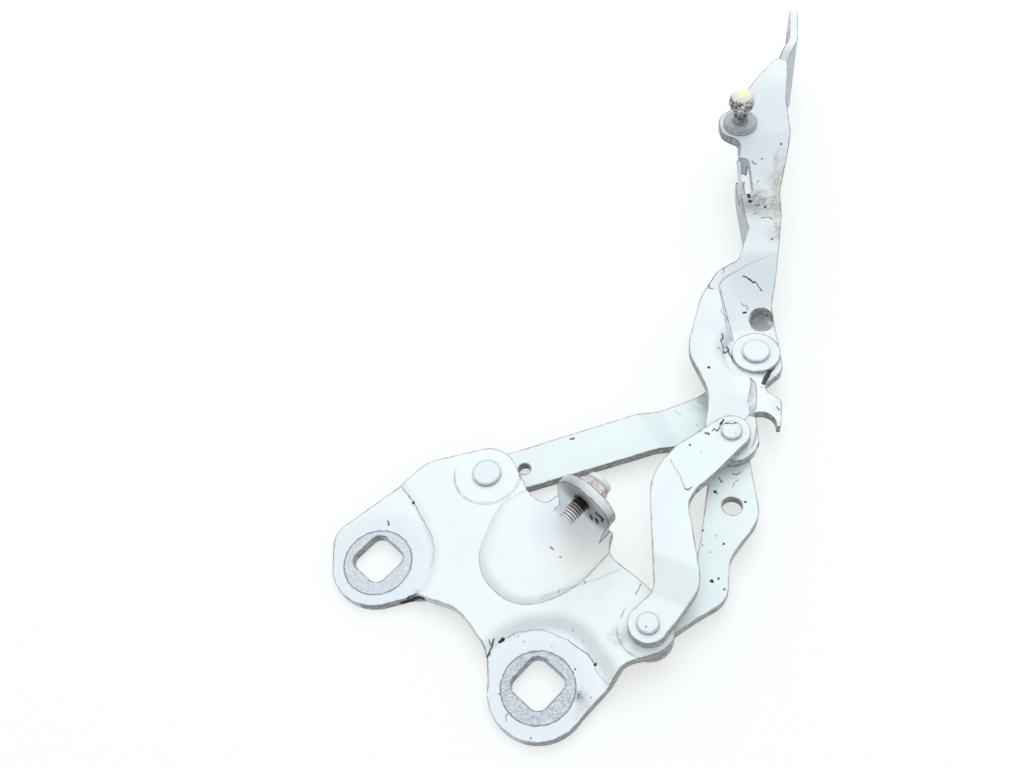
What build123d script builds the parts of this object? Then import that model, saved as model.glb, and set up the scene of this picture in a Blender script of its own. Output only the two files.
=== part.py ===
from build123d import *
from math import atan2, cos, degrees, hypot, radians, sin, tan
import os

# Bonnet hinge of pressed sheet steel, lying with its four pivots upright. A bracket with two
# square-holed ears bolts to the car's wing, a pair of front links and a cranked rear link swing
# on it, and they carry a long arm whose folded flange bolts to the bonnet.
# Origin: the underside of the front ear, where its bolt stands. +Z runs along the pivots.

# Sheet steel and running clearances
SHEET = 3.5
WASHER_THICKNESS = 0.5
WASHER_GAP = 0.1
RUNNING_CLEARANCE = 0.05
OPEN_PIVOT_CLEARANCE = 2.35

# Radii of the folds, on the hollow and on the round side of the sheet
HOLLOW_FOLD = 2.5
ROUND_FOLD = 4.0
ROUND_SHOULDER = 6.0
BEAD_FOLD = 3.0

# Pivots, seen from above: A on the bracket, B on the arm, 1 for the front links, 2 for the rear link
A1 = Vector(34.9, 15.2)
A2 = Vector(-16.3, 75.6)
B1 = Vector(68.2, 82.4)
B2 = Vector(82.0, 120.5)

# Heights of upper sheet faces
EAR_TOP = SHEET
PAD_A1_TOP = 8.5
PAD_A2_TOP = 4.5
BEAD_TOP = 9.0
WEB_TOP = 6.8
PAD_B2_TOP = 0.9
STEP_TOP = 11.5
DECK_TOP = 17.6

# Ears of the bracket
FRONT_EAR = Vector(0, 0)
REAR_EAR = Vector(-53.2, 44.9)
EAR_RADIUS = 15.5
EAR_FLAT_RADIUS = 18.5
EAR_HOLE_SIDE = 14.0
EAR_HOLE_OFFSET = 1.3
EAR_HOLE_CORNER = 3.5
EAR_WALL_ANGLE = 50

# Rivets: shank and head for the front (small) and rear (large) pivots
FRONT_SHANK = 5.0
FRONT_HEAD = 7.2
REAR_SHANK = 6.0
REAR_HEAD = 10.0
HEAD_HEIGHT = 1.3
HEAD_EDGE = 0.35
BUSH_WALL = 0.75
FRONT_WASHER = 11.0
REAR_WASHER = 14.0
ARM_DISC = 17.3
ARM_DISC_THICKNESS = 1.4
SEAT_RADIUS = 10.6
SEAT_SHIFT = Vector(-0.7, -0.9)
SEAT_FOLD = 1.2
SEAT_WALL_ANGLE = 70

# Tab with the stop bolt: its round lobe on a neck, measured across the bolt's own direction
TAB_TURN = 47.9
TAB_FACE = 53.0
TAB_CENTRE = 21.7
TAB_RADIUS = 10.6
TAB_LOBE_HEIGHT = 22.8
TAB_NECK_RIGHT = 14.4
TAB_NECK_LEFT = 32.6
TAB_BEND = 3.0
BEAD_RIGHT = 9.6
BEAD_LEFT = 39.6
BOLT_DIAMETER = 6.0
BOLT_AXIS_HEIGHT = 25.4
BOLT_END = 41.2
NUT_ACROSS_FLATS = 10.0
NUT_THICKNESS = 5.0
BOLT_HEAD = 9.0
BOLT_HEAD_THICKNESS = 2.2

# Front links
UPPER_LINK_CREST = 17.0
LINK_CAP = 6.4
LOWER_LINK_CAP = 8.0
LINK_HOLE = 6.7

# Rear link
REAR_LINK_CAP = 7.6
REAR_LINK_FAR_CAP = 9.0
REAR_LINK_HOLE = 4.4

# Stations along the arm where its upper face changes slope
FIRST_RAMP_START = 147.0
FIRST_RAMP_END = 160.5
SECOND_RAMP_START = 199.0
SECOND_RAMP_END = 217.2

# Bonnet flange of the arm
FLANGE_HOLE = 10.5
FLANGE_HOLE_HEIGHT = 2.5
FLANGE_SEAT_NEAR = Vector(80.2, 158.2)
FLANGE_SEAT_FAR = Vector(85.4, 172.5)
FLANGE_SLOT_PLACE = Vector(118.0, 285.0, 3.0)
FLANGE_SLOT_WIDTH = 12.0
FLANGE_SLOT_LENGTH = 17.0

# Relief cut in the fold between deck and flange
RELIEF_PLACE = Vector(86.6, 199.3, 14.0)
RELIEF_WIDTH = 6.4
RELIEF_LENGTH = 17.0
RELIEF_CORNER = 2.5
RELIEF_DEPTH = 20.0

# Round bite out of the arm's edge beside the rear pivot, and the rear link's tail below it
BITE = Vector(3.9, 14.7)
BITE_RADIUS = 4.3
TAIL = Vector(4.0, 20.3)
TAIL_RADIUS = 5.5

# Blocks that only have to reach past the part
PAST_WIDTH = 400.0
PAST_HEIGHT = 40.0

# Ball stud for the gas strut
BALL_DIAMETER = 10.0
BALL_PLACE = Vector(88.4, 223.8)
BALL_HEIGHT = 29.5
STUD_NECK = 5.6
STUD_FLANGE = 13.4
STUD_FLANGE_THICKNESS = 2.2
STUD_SHANK = 7.0
STUD_RIVET = 10.0

# Worked-out heights
LINK_STEP = WASHER_THICKNESS + WASHER_GAP
UPPER_LINK_A1_TOP = PAD_A1_TOP + LINK_STEP + SHEET
UPPER_LINK_B1_TOP = WEB_TOP + LINK_STEP + SHEET
LOWER_LINK_A1_TOP = PAD_A1_TOP - SHEET - LINK_STEP
LOWER_LINK_B1_TOP = WEB_TOP - SHEET - LINK_STEP
REAR_LINK_A2_TOP = PAD_A2_TOP - SHEET - LINK_STEP
REAR_LINK_B2_TOP = PAD_B2_TOP - SHEET - LINK_STEP


def plane_at(height):
    return Plane.XY.offset(height)


def rounded_face(points):
    """A flat closed outline from corners (x, y, corner radius)."""
    wire = FilletPolyline([(x, y) for x, y, r in points], radius=[r for x, y, r in points], close=True)
    return make_face(wire.edges())


def disc(centre, radius):
    return Pos(centre.X, centre.Y) * Circle(radius)


def column(centre, radius, low, high):
    return Pos(centre.X, centre.Y, low) * Cylinder(
        radius, high - low, align=(Align.CENTER, Align.CENTER, Align.MIN)
    )


def near(place, points):
    """Corners given from a feature's own centre, moved to that feature."""
    return [(place.X + x, place.Y + y, r) for x, y, r in points]


def prism(face, low, high):
    return extrude(Pos(0, 0, low) * face, amount=high - low)


def pocket(face, floor, height, wall_angle):
    """The space above a pressed-down area, whose walls slope up at wall_angle."""
    return extrude(Pos(0, 0, floor) * face, amount=height, taper=-(90 - wall_angle))


def soft_pocket(face, floor, height, wall_angle, radius):
    """The same space with its floor's border rounded."""
    space = pocket(face, floor, height, wall_angle)
    border = space.edges().filter_by_position(Axis.Z, floor - 0.01, floor + 0.01)
    return fillet(border, radius)


def fold_edges(body, height_at, centre, reach):
    """Sharp folds round a centre that lie on the face at height_at(x, y), without the cut edges."""
    cut = []
    for face in body.faces():
        if abs(face.normal_at(face.center()).Z) < 0.03:
            cut.extend(face.edges())
    found = []
    for edge in body.edges():
        spots = [edge.position_at(share) for share in (0.05, 0.5, 0.95)]
        on_face = all(abs(spot.Z - height_at(spot.X, spot.Y)) < 0.02 for spot in spots)
        close = hypot(spots[1].X - centre.X, spots[1].Y - centre.Y) < reach
        if on_face and close and not any(edge.is_same(other) for other in cut):
            found.append(edge)
    return found


def fold_shift(wall_angle):
    """How far the underside's corner lies beyond the upper side's at a bend in the sheet."""
    return SHEET * tan(radians(wall_angle / 2))


def side_solid(tops, below, half_width):
    """Everything under a line of (run, height) points along the local X axis."""
    first, last = tops[0], tops[-1]
    points = [(first[0], below, 0), (*first, 0)]
    points += [(run, height, ROUND_SHOULDER) for run, height in tops[1:-1]]
    points += [(*last, 0), (last[0], below, 0)]
    return extrude(Plane.XZ * rounded_face(points), amount=half_width, both=True)


def lowered(tops, thickness):
    """The same line one sheet thickness lower, measured square to each slope."""
    moved = []
    for i, (run, height) in enumerate(tops):
        before = tops[max(i - 1, 0)]
        after = tops[min(i + 1, len(tops) - 1)]
        slope_in = atan2(height - before[1], run - before[0]) if i > 0 else None
        slope_out = atan2(after[1] - height, after[0] - run) if i < len(tops) - 1 else None
        slope_in = slope_out if slope_in is None else slope_in
        slope_out = slope_in if slope_out is None else slope_out
        half = (slope_in + slope_out) / 2
        reach = thickness / cos((slope_out - slope_in) / 2)
        moved.append((run + reach * sin(half), height - reach * cos(half)))
    return moved


def joggled_strip(face, tops):
    """A flat-sided strip whose sheet follows a line of (run, height) points."""
    over = side_solid(tops, -PAST_HEIGHT, PAST_WIDTH / 2)
    under = side_solid(lowered(tops, SHEET), -PAST_HEIGHT, PAST_WIDTH / 2)
    return prism(face, -30, 30) & (over - under)


def place_link(shape, start, end):
    turn = degrees(atan2(end.Y - start.Y, end.X - start.X))
    return Pos(start.X, start.Y) * Rot(0, 0, turn) * shape


def link_length(start, end):
    return hypot(end.X - start.X, end.Y - start.Y)


def rivet(centre, shank, head, low, high):
    """A shank from low to high with a flat head beyond each end."""
    body = column(centre, shank / 2, low, high)
    heads = [(low - HEAD_HEIGHT, low), (high, high + HEAD_HEIGHT)]
    for bottom, top in heads:
        body += column(centre, head / 2, bottom, top)
    rim = body.edges().filter_by(GeomType.CIRCLE).group_by(Axis.Z)
    outer = [rim[0].sort_by(SortBy.RADIUS)[-1], rim[-1].sort_by(SortBy.RADIUS)[-1]]
    return chamfer(outer, HEAD_EDGE)


def ring(centre, outer, inner, low, high):
    return column(centre, outer, low, high) - column(centre, inner, low - 1, high + 1)


# Shared bores
FRONT_BUSH_BORE = FRONT_SHANK / 2 + RUNNING_CLEARANCE
FRONT_BUSH_OUTER = FRONT_BUSH_BORE + BUSH_WALL
REAR_BUSH_BORE = REAR_SHANK / 2 + RUNNING_CLEARANCE
REAR_BUSH_OUTER = REAR_BUSH_BORE + BUSH_WALL
OPEN_PIVOT_BORE = REAR_SHANK / 2 + OPEN_PIVOT_CLEARANCE


# Bracket

def bracket_outline():
    """The bracket seen from above: two round ears, two pivot lobes and the web between them."""
    web = [
        (11.0, -11.8, 0),
        (A1.X - 7.6, A1.Y - 10.6, 8),
        (A1.X + 2.4, A1.Y - 7.8, 0),
        (A1.X + 7.1, A1.Y + 4.1, 0),
        (A1.X + 0.6, A1.Y + 14.3, 15),
        (23.6, 41.5, 6),
        *tab_corners(),
        (4.0, 60.2, 3),
        (-0.6, 63.6, 6),
        (A2.X + 9.5, A2.Y + 3.9, 0),
        (A2.X - 1.9, A2.Y + 10.1, 0),
        (-38.0, 82.2, 14),
        (REAR_EAR.X + 6.0, REAR_EAR.Y + 28.5, 6),
        (REAR_EAR.X - 16.2, REAR_EAR.Y + 11.8, 9),
        (REAR_EAR.X - EAR_RADIUS, REAR_EAR.Y, 0),
        (REAR_EAR.X + 1.6, REAR_EAR.Y - EAR_RADIUS, 0),
        (REAR_EAR.X + 13.4, REAR_EAR.Y - 12.9, 8),
        (-25.0, 25.8, 14),
        (-15.9, 12.5, 14),
        (-EAR_RADIUS, 0, 0),
    ]
    face = rounded_face(web)
    face += Pos(0, -0.8) * disc(FRONT_EAR, EAR_RADIUS + 0.3)
    face += disc(REAR_EAR, EAR_RADIUS)
    face += disc(A1, 8.2)
    face += disc(A2, 10.3)
    return face


def tab_frame():
    """A plane whose X runs out through the tab, with the bolt's axis at its height."""
    return Rot(0, 0, TAB_TURN)


def tab_point(out, along):
    turn = radians(TAB_TURN)
    return out * cos(turn) - along * sin(turn), out * sin(turn) + along * cos(turn)


def tab_corners():
    right = tab_point(TAB_FACE, TAB_NECK_RIGHT - 1.4)
    left = tab_point(TAB_FACE, TAB_NECK_LEFT + 3.4)
    return [(*right, 0), (*left, 0)]


def web_plane_height(x, y):
    """The bracket's sloping web, a little above both pivot pads."""
    run = Vector(A1.X - A2.X, A1.Y - A2.Y)
    share = ((x - A2.X) * run.X + (y - A2.Y) * run.Y) / (run.X**2 + run.Y**2)
    low = PAD_A2_TOP + 0.5
    high = PAD_A1_TOP + 0.4
    return low + (high - low) * share


def under_web_plane(drop):
    """All space below the bracket's sloping web."""
    corner_a = Vector(0, 0, web_plane_height(0, 0) - drop)
    corner_b = Vector(50, 0, web_plane_height(50, 0) - drop)
    corner_c = Vector(0, 50, web_plane_height(0, 50) - drop)
    x_dir = corner_b - corner_a
    normal = x_dir.cross(corner_c - corner_a)
    slope = Plane(origin=corner_a, x_dir=x_dir, z_dir=normal)
    return extrude(slope * Rectangle(PAST_WIDTH, PAST_WIDTH), amount=-PAST_HEIGHT)


def front_ear_flat():
    """Flat area of the front ear, open to the south where the sheet ends."""
    wide = EAR_FLAT_RADIUS
    return rounded_face(
        near(
            FRONT_EAR,
            [
                (wide + 5.5, -30, 0),
                (wide + 2.1, 2.0, 14),
                (wide - 7.5, wide, 13),
                (-wide, wide, wide - 0.01),
                (-wide, -30, 0),
            ],
        )
    )


def rear_ear_flat():
    """Flat area of the rear ear, open to the west and north where the sheet ends."""
    wide = EAR_FLAT_RADIUS
    return rounded_face(
        near(
            REAR_EAR,
            [
                (-30, -wide, 0),
                (wide, -wide, wide - 0.01),
                (wide, 3.5, 12),
                (wide - 4.5, 16, 10),
                (wide - 12.9, 32, 0),
                (-30, 32, 0),
            ],
        )
    )


def bead_face():
    """The raised tongue that runs from the middle of the web out into the tab."""
    near_end = tab_point(TAB_FACE - 10, (BEAD_RIGHT + BEAD_LEFT) / 2)
    right = tab_point(TAB_FACE + 10, BEAD_RIGHT)
    left = tab_point(TAB_FACE + 10, BEAD_LEFT)
    return rounded_face(
        [(*right, 0), (*left, 0), (-10.5, 61.5, 12), (-19.5, 40.0, 16), (-6.0, 24.0, 14), (12.0, 29.0, 30)]
    ) + Pos(*near_end) * Circle(4)


def pressed_bracket(drop):
    """The space under the bracket's upper face, or one sheet lower with drop at the sheet's thickness."""
    foot, rim = (ROUND_FOLD, HOLLOW_FOLD) if drop else (HOLLOW_FOLD, ROUND_FOLD)
    outline = offset(bracket_outline(), amount=1.0) if drop else bracket_outline()

    def web_height(x, y):
        return web_plane_height(x, y) - drop

    body = prism(outline, -20, 30) & under_web_plane(drop)
    for place, flat in ((FRONT_EAR, front_ear_flat()), (REAR_EAR, rear_ear_flat())):
        area = offset(flat, amount=fold_shift(EAR_WALL_ANGLE)) if drop else flat
        body -= soft_pocket(area, EAR_TOP - drop, 12, EAR_WALL_ANGLE, foot)
        body = fillet(fold_edges(body, web_height, place, 34), rim)
    bead_low = web_height(A2.X, A2.Y) - 1
    bead = extrude(
        Pos(0, 0, bead_low) * offset(bead_face(), amount=3.2 - (SHEET * 0.35 if drop else 0)),
        amount=BEAD_TOP - drop - bead_low,
        taper=40,
    )
    crown = bead.edges().filter_by_position(Axis.Z, BEAD_TOP - drop - 0.01, BEAD_TOP - drop + 0.01)
    body += fillet(crown, BEAD_FOLD) & prism(outline, -20, 30)
    for pad, radius, top in ((A1, 9.6, PAD_A1_TOP), (A2, 11.4, PAD_A2_TOP)):
        body -= pocket(disc(pad, radius + fold_shift(45) * (drop / SHEET) * 0.3), top - drop, 4, 45)
    return body


def square_hole(centre):
    hole = RectangleRounded(EAR_HOLE_SIDE, EAR_HOLE_SIDE, EAR_HOLE_CORNER)
    return prism(Pos(centre.X, centre.Y + EAR_HOLE_OFFSET) * Rot(0, 0, 45) * hole, -5, 10)


def tab():
    """The bolt's tab: a strip bent up from the web's edge, with a round top."""
    strip = Polyline(
        (TAB_FACE - 12, BEAD_TOP - SHEET),
        (TAB_FACE, BEAD_TOP - SHEET),
        (TAB_FACE, TAB_LOBE_HEIGHT + TAB_RADIUS + 1),
        (TAB_FACE - SHEET, TAB_LOBE_HEIGHT + TAB_RADIUS + 1),
        (TAB_FACE - SHEET, BEAD_TOP),
        (TAB_FACE - 12, BEAD_TOP),
        close=True,
    )
    profile = make_face(strip.edges())
    corners = profile.vertices()
    outer = corners.sort_by_distance((TAB_FACE, BEAD_TOP - SHEET))[0]
    profile = fillet(outer, TAB_BEND + SHEET)
    inner = profile.vertices().sort_by_distance((TAB_FACE - SHEET, BEAD_TOP))[0]
    profile = fillet(inner, TAB_BEND)
    bent = extrude(Plane.XZ * profile, amount=60, both=True)
    neck = rounded_face(
        [
            (TAB_CENTRE - TAB_RADIUS + 0.2, TAB_LOBE_HEIGHT - 1.5, 0),
            (TAB_NECK_RIGHT, BEAD_TOP + 1.5, 5),
            (TAB_NECK_RIGHT - 2.0, 0, 0),
            (TAB_NECK_LEFT + 3.4, 0, 0),
            (TAB_NECK_LEFT, BEAD_TOP + 3.0, 5),
            (TAB_CENTRE + TAB_RADIUS, TAB_LOBE_HEIGHT, 0),
            (TAB_CENTRE, TAB_LOBE_HEIGHT + 3, 0),
        ]
    )
    lobe = Pos(TAB_CENTRE, TAB_LOBE_HEIGHT) * Circle(TAB_RADIUS) + neck
    outline = extrude(Plane.YZ * lobe, amount=80)
    bore = extrude(Plane.YZ * Pos(TAB_CENTRE, BOLT_AXIS_HEIGHT) * Circle(BOLT_DIAMETER / 2), amount=80)
    return tab_frame() * ((bent & outline) - bore)


def fender_bracket():
    sheet = pressed_bracket(0) - pressed_bracket(SHEET)
    sheet += tab()
    sheet -= square_hole(FRONT_EAR)
    sheet -= square_hole(REAR_EAR)
    sheet -= column(A1, FRONT_BUSH_OUTER, -10, 20)
    sheet -= column(A2, REAR_BUSH_OUTER, -10, 20)
    return sheet


# Stop bolt and its lock nut

def on_bolt_axis(shape, out):
    """Stands a shape drawn along +Z on the bolt's axis, at a distance out through the tab."""
    return tab_frame() * (Pos(out, TAB_CENTRE, BOLT_AXIS_HEIGHT) * Rot(0, 90, 0) * shape)


def bolt_cylinder(radius, start, length):
    return on_bolt_axis(Cylinder(radius, length, align=(Align.CENTER, Align.CENTER, Align.MIN)), start)


def stop_bolt():
    head_start = TAB_FACE + NUT_THICKNESS
    shank = bolt_cylinder(BOLT_DIAMETER / 2, BOLT_END, head_start - BOLT_END)
    shank = chamfer(shank.edges().filter_by(GeomType.CIRCLE).sort_by_distance(tab_end_point())[0], 0.7)
    head = bolt_cylinder(BOLT_HEAD / 2, head_start, BOLT_HEAD_THICKNESS)
    far = head.edges().filter_by(GeomType.CIRCLE).sort_by_distance(tab_end_point())[-1]
    return shank + chamfer(far, 0.6)


def tab_end_point():
    x, y = tab_point(BOLT_END, TAB_CENTRE)
    return (x, y, BOLT_AXIS_HEIGHT)


def stop_nut():
    hexagon = RegularPolygon(NUT_ACROSS_FLATS / 2, 6, major_radius=False) - Circle(BOLT_DIAMETER / 2)
    return on_bolt_axis(extrude(hexagon, amount=NUT_THICKNESS), TAB_FACE)


# Front links

def upper_front_link():
    """The S-shaped upper link, raised in the middle so that it clears the bracket's bead."""
    far = link_length(A1, B1)
    body = rounded_face(
        [
            (far + 3.5, 5.4, 0),
            (far - 21.8, 21.4, 28),
            (10.8, 2.4, 5),
            (2.5, 5.8, 0),
            (0, 0, 0),
            (-1.6, -6.1, 0),
            (17.0, -10.8, 10),
            (far - 30.5, 4.6, 14),
            (far - 2.1, -6.0, 0),
            (far, 0, 0),
        ]
    )
    body += Circle(LINK_CAP)
    body += Pos(far, 0) * Circle(LINK_CAP)
    tops = [
        (-15, UPPER_LINK_A1_TOP),
        (9, UPPER_LINK_A1_TOP),
        (21, UPPER_LINK_CREST),
        (33, UPPER_LINK_CREST),
        (far - 19, UPPER_LINK_B1_TOP),
        (far + 15, UPPER_LINK_B1_TOP),
    ]
    strip = joggled_strip(body, tops)
    for run in (0, far):
        strip -= column(Vector(run, 0), FRONT_SHANK / 2, -10, 30)
    return place_link(strip, A1, B1)


def lower_front_link():
    """The broad lower link, with a hole in its belly."""
    far = link_length(A1, B1)
    body = rounded_face(
        [
            (far - 2.6, -7.6, 0),
            (far - 23.0, -18.6, 12),
            (34.0, -14.2, 14),
            (21.0, -18.6, 10),
            (3.0, -7.4, 0),
            (0, 0, 0),
            (4.5, 6.6, 0),
            (22.0, -5.6, 18),
            (36.0, -3.6, 60),
            (far - 12.0, 3.2, 20),
            (far - 3.0, 7.4, 0),
            (far, 0, 0),
        ]
    )
    body += Circle(LOWER_LINK_CAP)
    body += Pos(far, 0) * Circle(LOWER_LINK_CAP)
    tops = [
        (-15, LOWER_LINK_A1_TOP),
        (11, LOWER_LINK_A1_TOP),
        (18, LOWER_LINK_B1_TOP),
        (far + 15, LOWER_LINK_B1_TOP),
    ]
    strip = joggled_strip(body, tops)
    for run in (0, far):
        strip -= column(Vector(run, 0), FRONT_SHANK / 2, -10, 30)
    strip -= column(Vector(far - 22.5, -8.6), LINK_HOLE / 2, -10, 30)
    return place_link(strip, A1, B1)


# Rear link

def rear_link():
    """The cranked rear link, with one step down on its way under the arm and a tail past its far pivot."""
    far = link_length(A2, B2)
    turn = atan2(B2.Y - A2.Y, B2.X - A2.X)
    tail_run = TAIL.X * cos(turn) + TAIL.Y * sin(turn)
    tail_side = TAIL.Y * cos(turn) - TAIL.X * sin(turn)
    body = rounded_face(
        [
            (1.2, 7.6, 0),
            (far - 46.0, -1.8, 20),
            (far - 22.0, -4.2, 20),
            (far - 5.2, 7.4, 0),
            (far, 0, 0),
            (far + 3.6, -8.3, 0),
            (far - 40.0, -19.2, 30),
            (-1.2, -7.5, 0),
            (0, 0, 0),
        ]
    )
    body += Circle(REAR_LINK_CAP)
    body += Pos(far, 0) * Circle(REAR_LINK_FAR_CAP)
    body += Pos(far + tail_run, tail_side) * Circle(TAIL_RADIUS)
    body += Pos(far, 0) * Rot(0, 0, degrees(atan2(tail_side, tail_run))) * Pos(TAIL.length / 2, 0) * Rectangle(
        TAIL.length, 2 * TAIL_RADIUS
    )
    tops = [
        (-15, REAR_LINK_A2_TOP),
        (58, REAR_LINK_A2_TOP),
        (67, REAR_LINK_B2_TOP),
        (far + 15, REAR_LINK_B2_TOP),
    ]
    strip = joggled_strip(body, tops)
    strip -= column(Vector(0, 0), REAR_SHANK / 2, -20, 30)
    strip -= column(Vector(far, 0), REAR_SHANK / 2, -20, 30)
    strip -= column(Vector(12.9, -2.2), REAR_LINK_HOLE / 2, -20, 30)
    return place_link(strip, A2, B2)


# Arm

def arm_outline():
    """The arm's web and deck seen from above, with the hook beside the front pivot."""
    points = [
        (B1.X + 9.2, B1.Y - 2.6, 0),
        (B1.X + 9.6, B1.Y + 13.2, 1.6),
        (B1.X + 17.4, B1.Y + 13.2, 5),
        (B1.X + 16.8, B1.Y + 6.6, 0.6),
        (B1.X + 18.2, B1.Y + 6.4, 0.6),
        (B1.X + 20.4, B1.Y + 17.6, 4),
        (B2.X - 0.2, B2.Y - 14.9, 3),
        (B2.X + 8.8, B2.Y - 8.0, 5),
        (B2.X + 8.8, B2.Y + 6.4, 2),
        (B2.X + 8.2, B2.Y + 19.5, 8),
        (93.0, 150.0, 30),
        (98.9, 178.0, 40),
        (100.0, 191.0, 20),
        (107.6, 216.0, 25),
        (108.6, 236.0, 40),
        (113.4, 262.5, 3),
        (107.4, 261.5, 3),
        (97.5, 249.5, 20),
        (86.8, 234.0, 10),
        (79.6, 228.5, 7),
        (80.6, 218.5, 7),
        (88.0, 215.0, 4),
        *reversed(flange_path()[1:6]),
        (57.0, 121.0, 16),
        (63.0, 102.0, 20),
        (B1.X - 9.0, B1.Y + 1.0, 0),
    ]
    return rounded_face(points) + disc(B1, 9.3)


def arm_tops():
    """The upper face of the arm along its length."""
    return [
        (40, WEB_TOP),
        (FIRST_RAMP_START, WEB_TOP),
        (FIRST_RAMP_END, STEP_TOP),
        (SECOND_RAMP_START, STEP_TOP),
        (SECOND_RAMP_END, DECK_TOP),
        (320, DECK_TOP),
    ]


def along_y(shape):
    """Turns a solid drawn along X so that it runs along Y."""
    return Rot(0, 0, 90) * shape


def seat_border():
    """Floor of the pressed-down seat beyond its round part, open towards the outer edge."""
    return rounded_face(
        near(
            B2,
            [
                (-5.2, -27.9, 0),
                (-2.6, -21.5, 8),
                (-1.4, -11.1, 5),
                (-7.5, -7.5, 0),
                (-7.5, 7.5, 0),
                (-8.0, 29.5, 0),
                (28.0, 39.5, 0),
                (28.0, -38.5, 0),
                (0.6, -38.5, 0),
                (0.0, -30.5, 2),
            ],
        )
    )


def seat_space(drop):
    """The space over the seat, closed to the north by the arm's first ramp."""
    shift = fold_shift(SEAT_WALL_ANGLE) if drop else 0
    round_part = disc(B2 + SEAT_SHIFT, SEAT_RADIUS + shift)
    border = offset(seat_border(), amount=shift) if drop else seat_border()
    foot = ROUND_FOLD if drop else SEAT_FOLD
    space = soft_pocket(round_part, PAD_B2_TOP - drop, 12, SEAT_WALL_ANGLE, foot)
    space += pocket(border, PAD_B2_TOP - drop, 12, SEAT_WALL_ANGLE)
    ramp = [(100, PAD_B2_TOP), (131.5, PAD_B2_TOP), (FIRST_RAMP_END, STEP_TOP), (220, STEP_TOP)]
    ramp = lowered(ramp, drop) if drop else ramp
    return space - along_y(side_solid(ramp, -PAST_HEIGHT, PAST_WIDTH / 2))


def flange_path():
    """The outer face of the bonnet flange seen from above, from the web to the far tip."""
    return [
        (60.6, 130.0, 0),
        (64.4, 145.0, 20),
        (71.5, 154.4, 8),
        (FLANGE_SEAT_NEAR.X, FLANGE_SEAT_NEAR.Y, 4),
        (FLANGE_SEAT_FAR.X, FLANGE_SEAT_FAR.Y, 6),
        (84.4, 203.0, 15),
        (87.6, 212.0, 12),
        (87.4, 234.0, 15),
        (97.5, 249.5, 40),
        (107.9, 260.5, 40),
        (115.0, 270.8, 5),
        (119.6, 299.0, 0),
    ]


def flange_band():
    """The flange's sheet seen from above."""
    path = flange_path()
    outer = FilletPolyline([(x, y) for x, y, r in path], radius=[r for x, y, r in path[1:-1]])
    inner = offset(outer, amount=-SHEET, side=Side.RIGHT, closed=True)
    return make_face(inner.edges())


def flange_side():
    """The flange seen along X: its deep far end, the notch behind the deck and its tip."""
    return rounded_face(
        [
            (129.0, WEB_TOP, 0),
            (FIRST_RAMP_START, WEB_TOP, 0),
            (FIRST_RAMP_END, STEP_TOP, 0),
            (SECOND_RAMP_START, STEP_TOP, 0),
            (SECOND_RAMP_END, DECK_TOP, 0),
            (258.5, DECK_TOP, 1),
            (261.5, 14.2, 1.5),
            (266.0, 19.8, 5),
            (290.5, 19.8, 4),
            (297.6, 8.0, 6),
            (297.6, -14.5, 7),
            (286.0, -18.0, 12),
            (268.0, -16.5, 20),
            (246.0, -1.0, 20),
            (236.0, 4.6, 20),
            (206.0, 5.6, 6),
            (198.0, -3.6, 6),
            (176.0, -7.0, 30),
            (158.0, -12.0, 14),
            (144.0, -9.5, 14),
            (133.0, 2.0, 5),
        ]
    )


def under_lobe():
    """The gap in the flange below the ball stud's lobe, which takes the stud's riveted end."""
    low = DECK_TOP - SHEET - HEAD_HEIGHT - 1.6
    window = Pos(BALL_PLACE.Y, (low + DECK_TOP) / 2) * Rectangle(STUD_RIVET + 7.0, DECK_TOP - low)
    return Pos(BALL_PLACE.X - 12, 0, 0) * extrude(Plane.YZ * window, amount=16)


def bonnet_flange():
    trim = extrude(Plane.YZ * flange_side(), amount=PAST_WIDTH / 2)
    flange = prism(flange_band(), -PAST_HEIGHT, PAST_HEIGHT) & trim
    along = FLANGE_SEAT_FAR - FLANGE_SEAT_NEAR
    middle = FLANGE_SEAT_NEAR + along / 2 + Vector(0, 0, FLANGE_HOLE_HEIGHT)
    seat = Plane(origin=middle, x_dir=along, z_dir=(-along.Y, along.X, 0))
    flange -= extrude(seat * Circle(FLANGE_HOLE / 2), amount=8, both=True)
    flange -= under_lobe()
    slot = SlotOverall(FLANGE_SLOT_LENGTH, FLANGE_SLOT_WIDTH, rotation=90)
    flange -= Pos(FLANGE_SLOT_PLACE - Vector(20, 0, 0)) * extrude(Plane.YZ * slot, amount=40)
    return flange


def relief():
    """The relief cut in the fold between deck and flange."""
    cut = RectangleRounded(RELIEF_WIDTH, RELIEF_LENGTH, RELIEF_CORNER)
    return Pos(RELIEF_PLACE) * extrude(cut, amount=RELIEF_DEPTH / 2, both=True)


def pressed_arm(drop):
    """The space under the arm's upper face, or one sheet lower with drop at the sheet's thickness."""
    tops = lowered(arm_tops(), drop) if drop else arm_tops()
    body = prism(arm_outline(), -30, 40) & along_y(side_solid(tops, -PAST_HEIGHT, PAST_WIDTH / 2))
    body -= seat_space(drop)
    folds = fold_edges(body, lambda x, y: WEB_TOP - drop, B2, SEAT_RADIUS * 1.6)
    rim = [edge for edge in folds if edge.geom_type == GeomType.CIRCLE]
    return fillet(rim, HOLLOW_FOLD if drop else ROUND_FOLD)


def bonnet_arm():
    sheet = pressed_arm(0) - pressed_arm(SHEET)
    sheet += bonnet_flange()
    sheet -= relief()
    sheet -= column(B2 + BITE, BITE_RADIUS, -20, 40)
    sheet -= column(B1, FRONT_BUSH_OUTER, -20, 30)
    sheet -= column(B2, OPEN_PIVOT_BORE, -20, 30)
    sheet -= column(BALL_PLACE, STUD_SHANK / 2, 0, 40)
    return sheet


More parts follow.
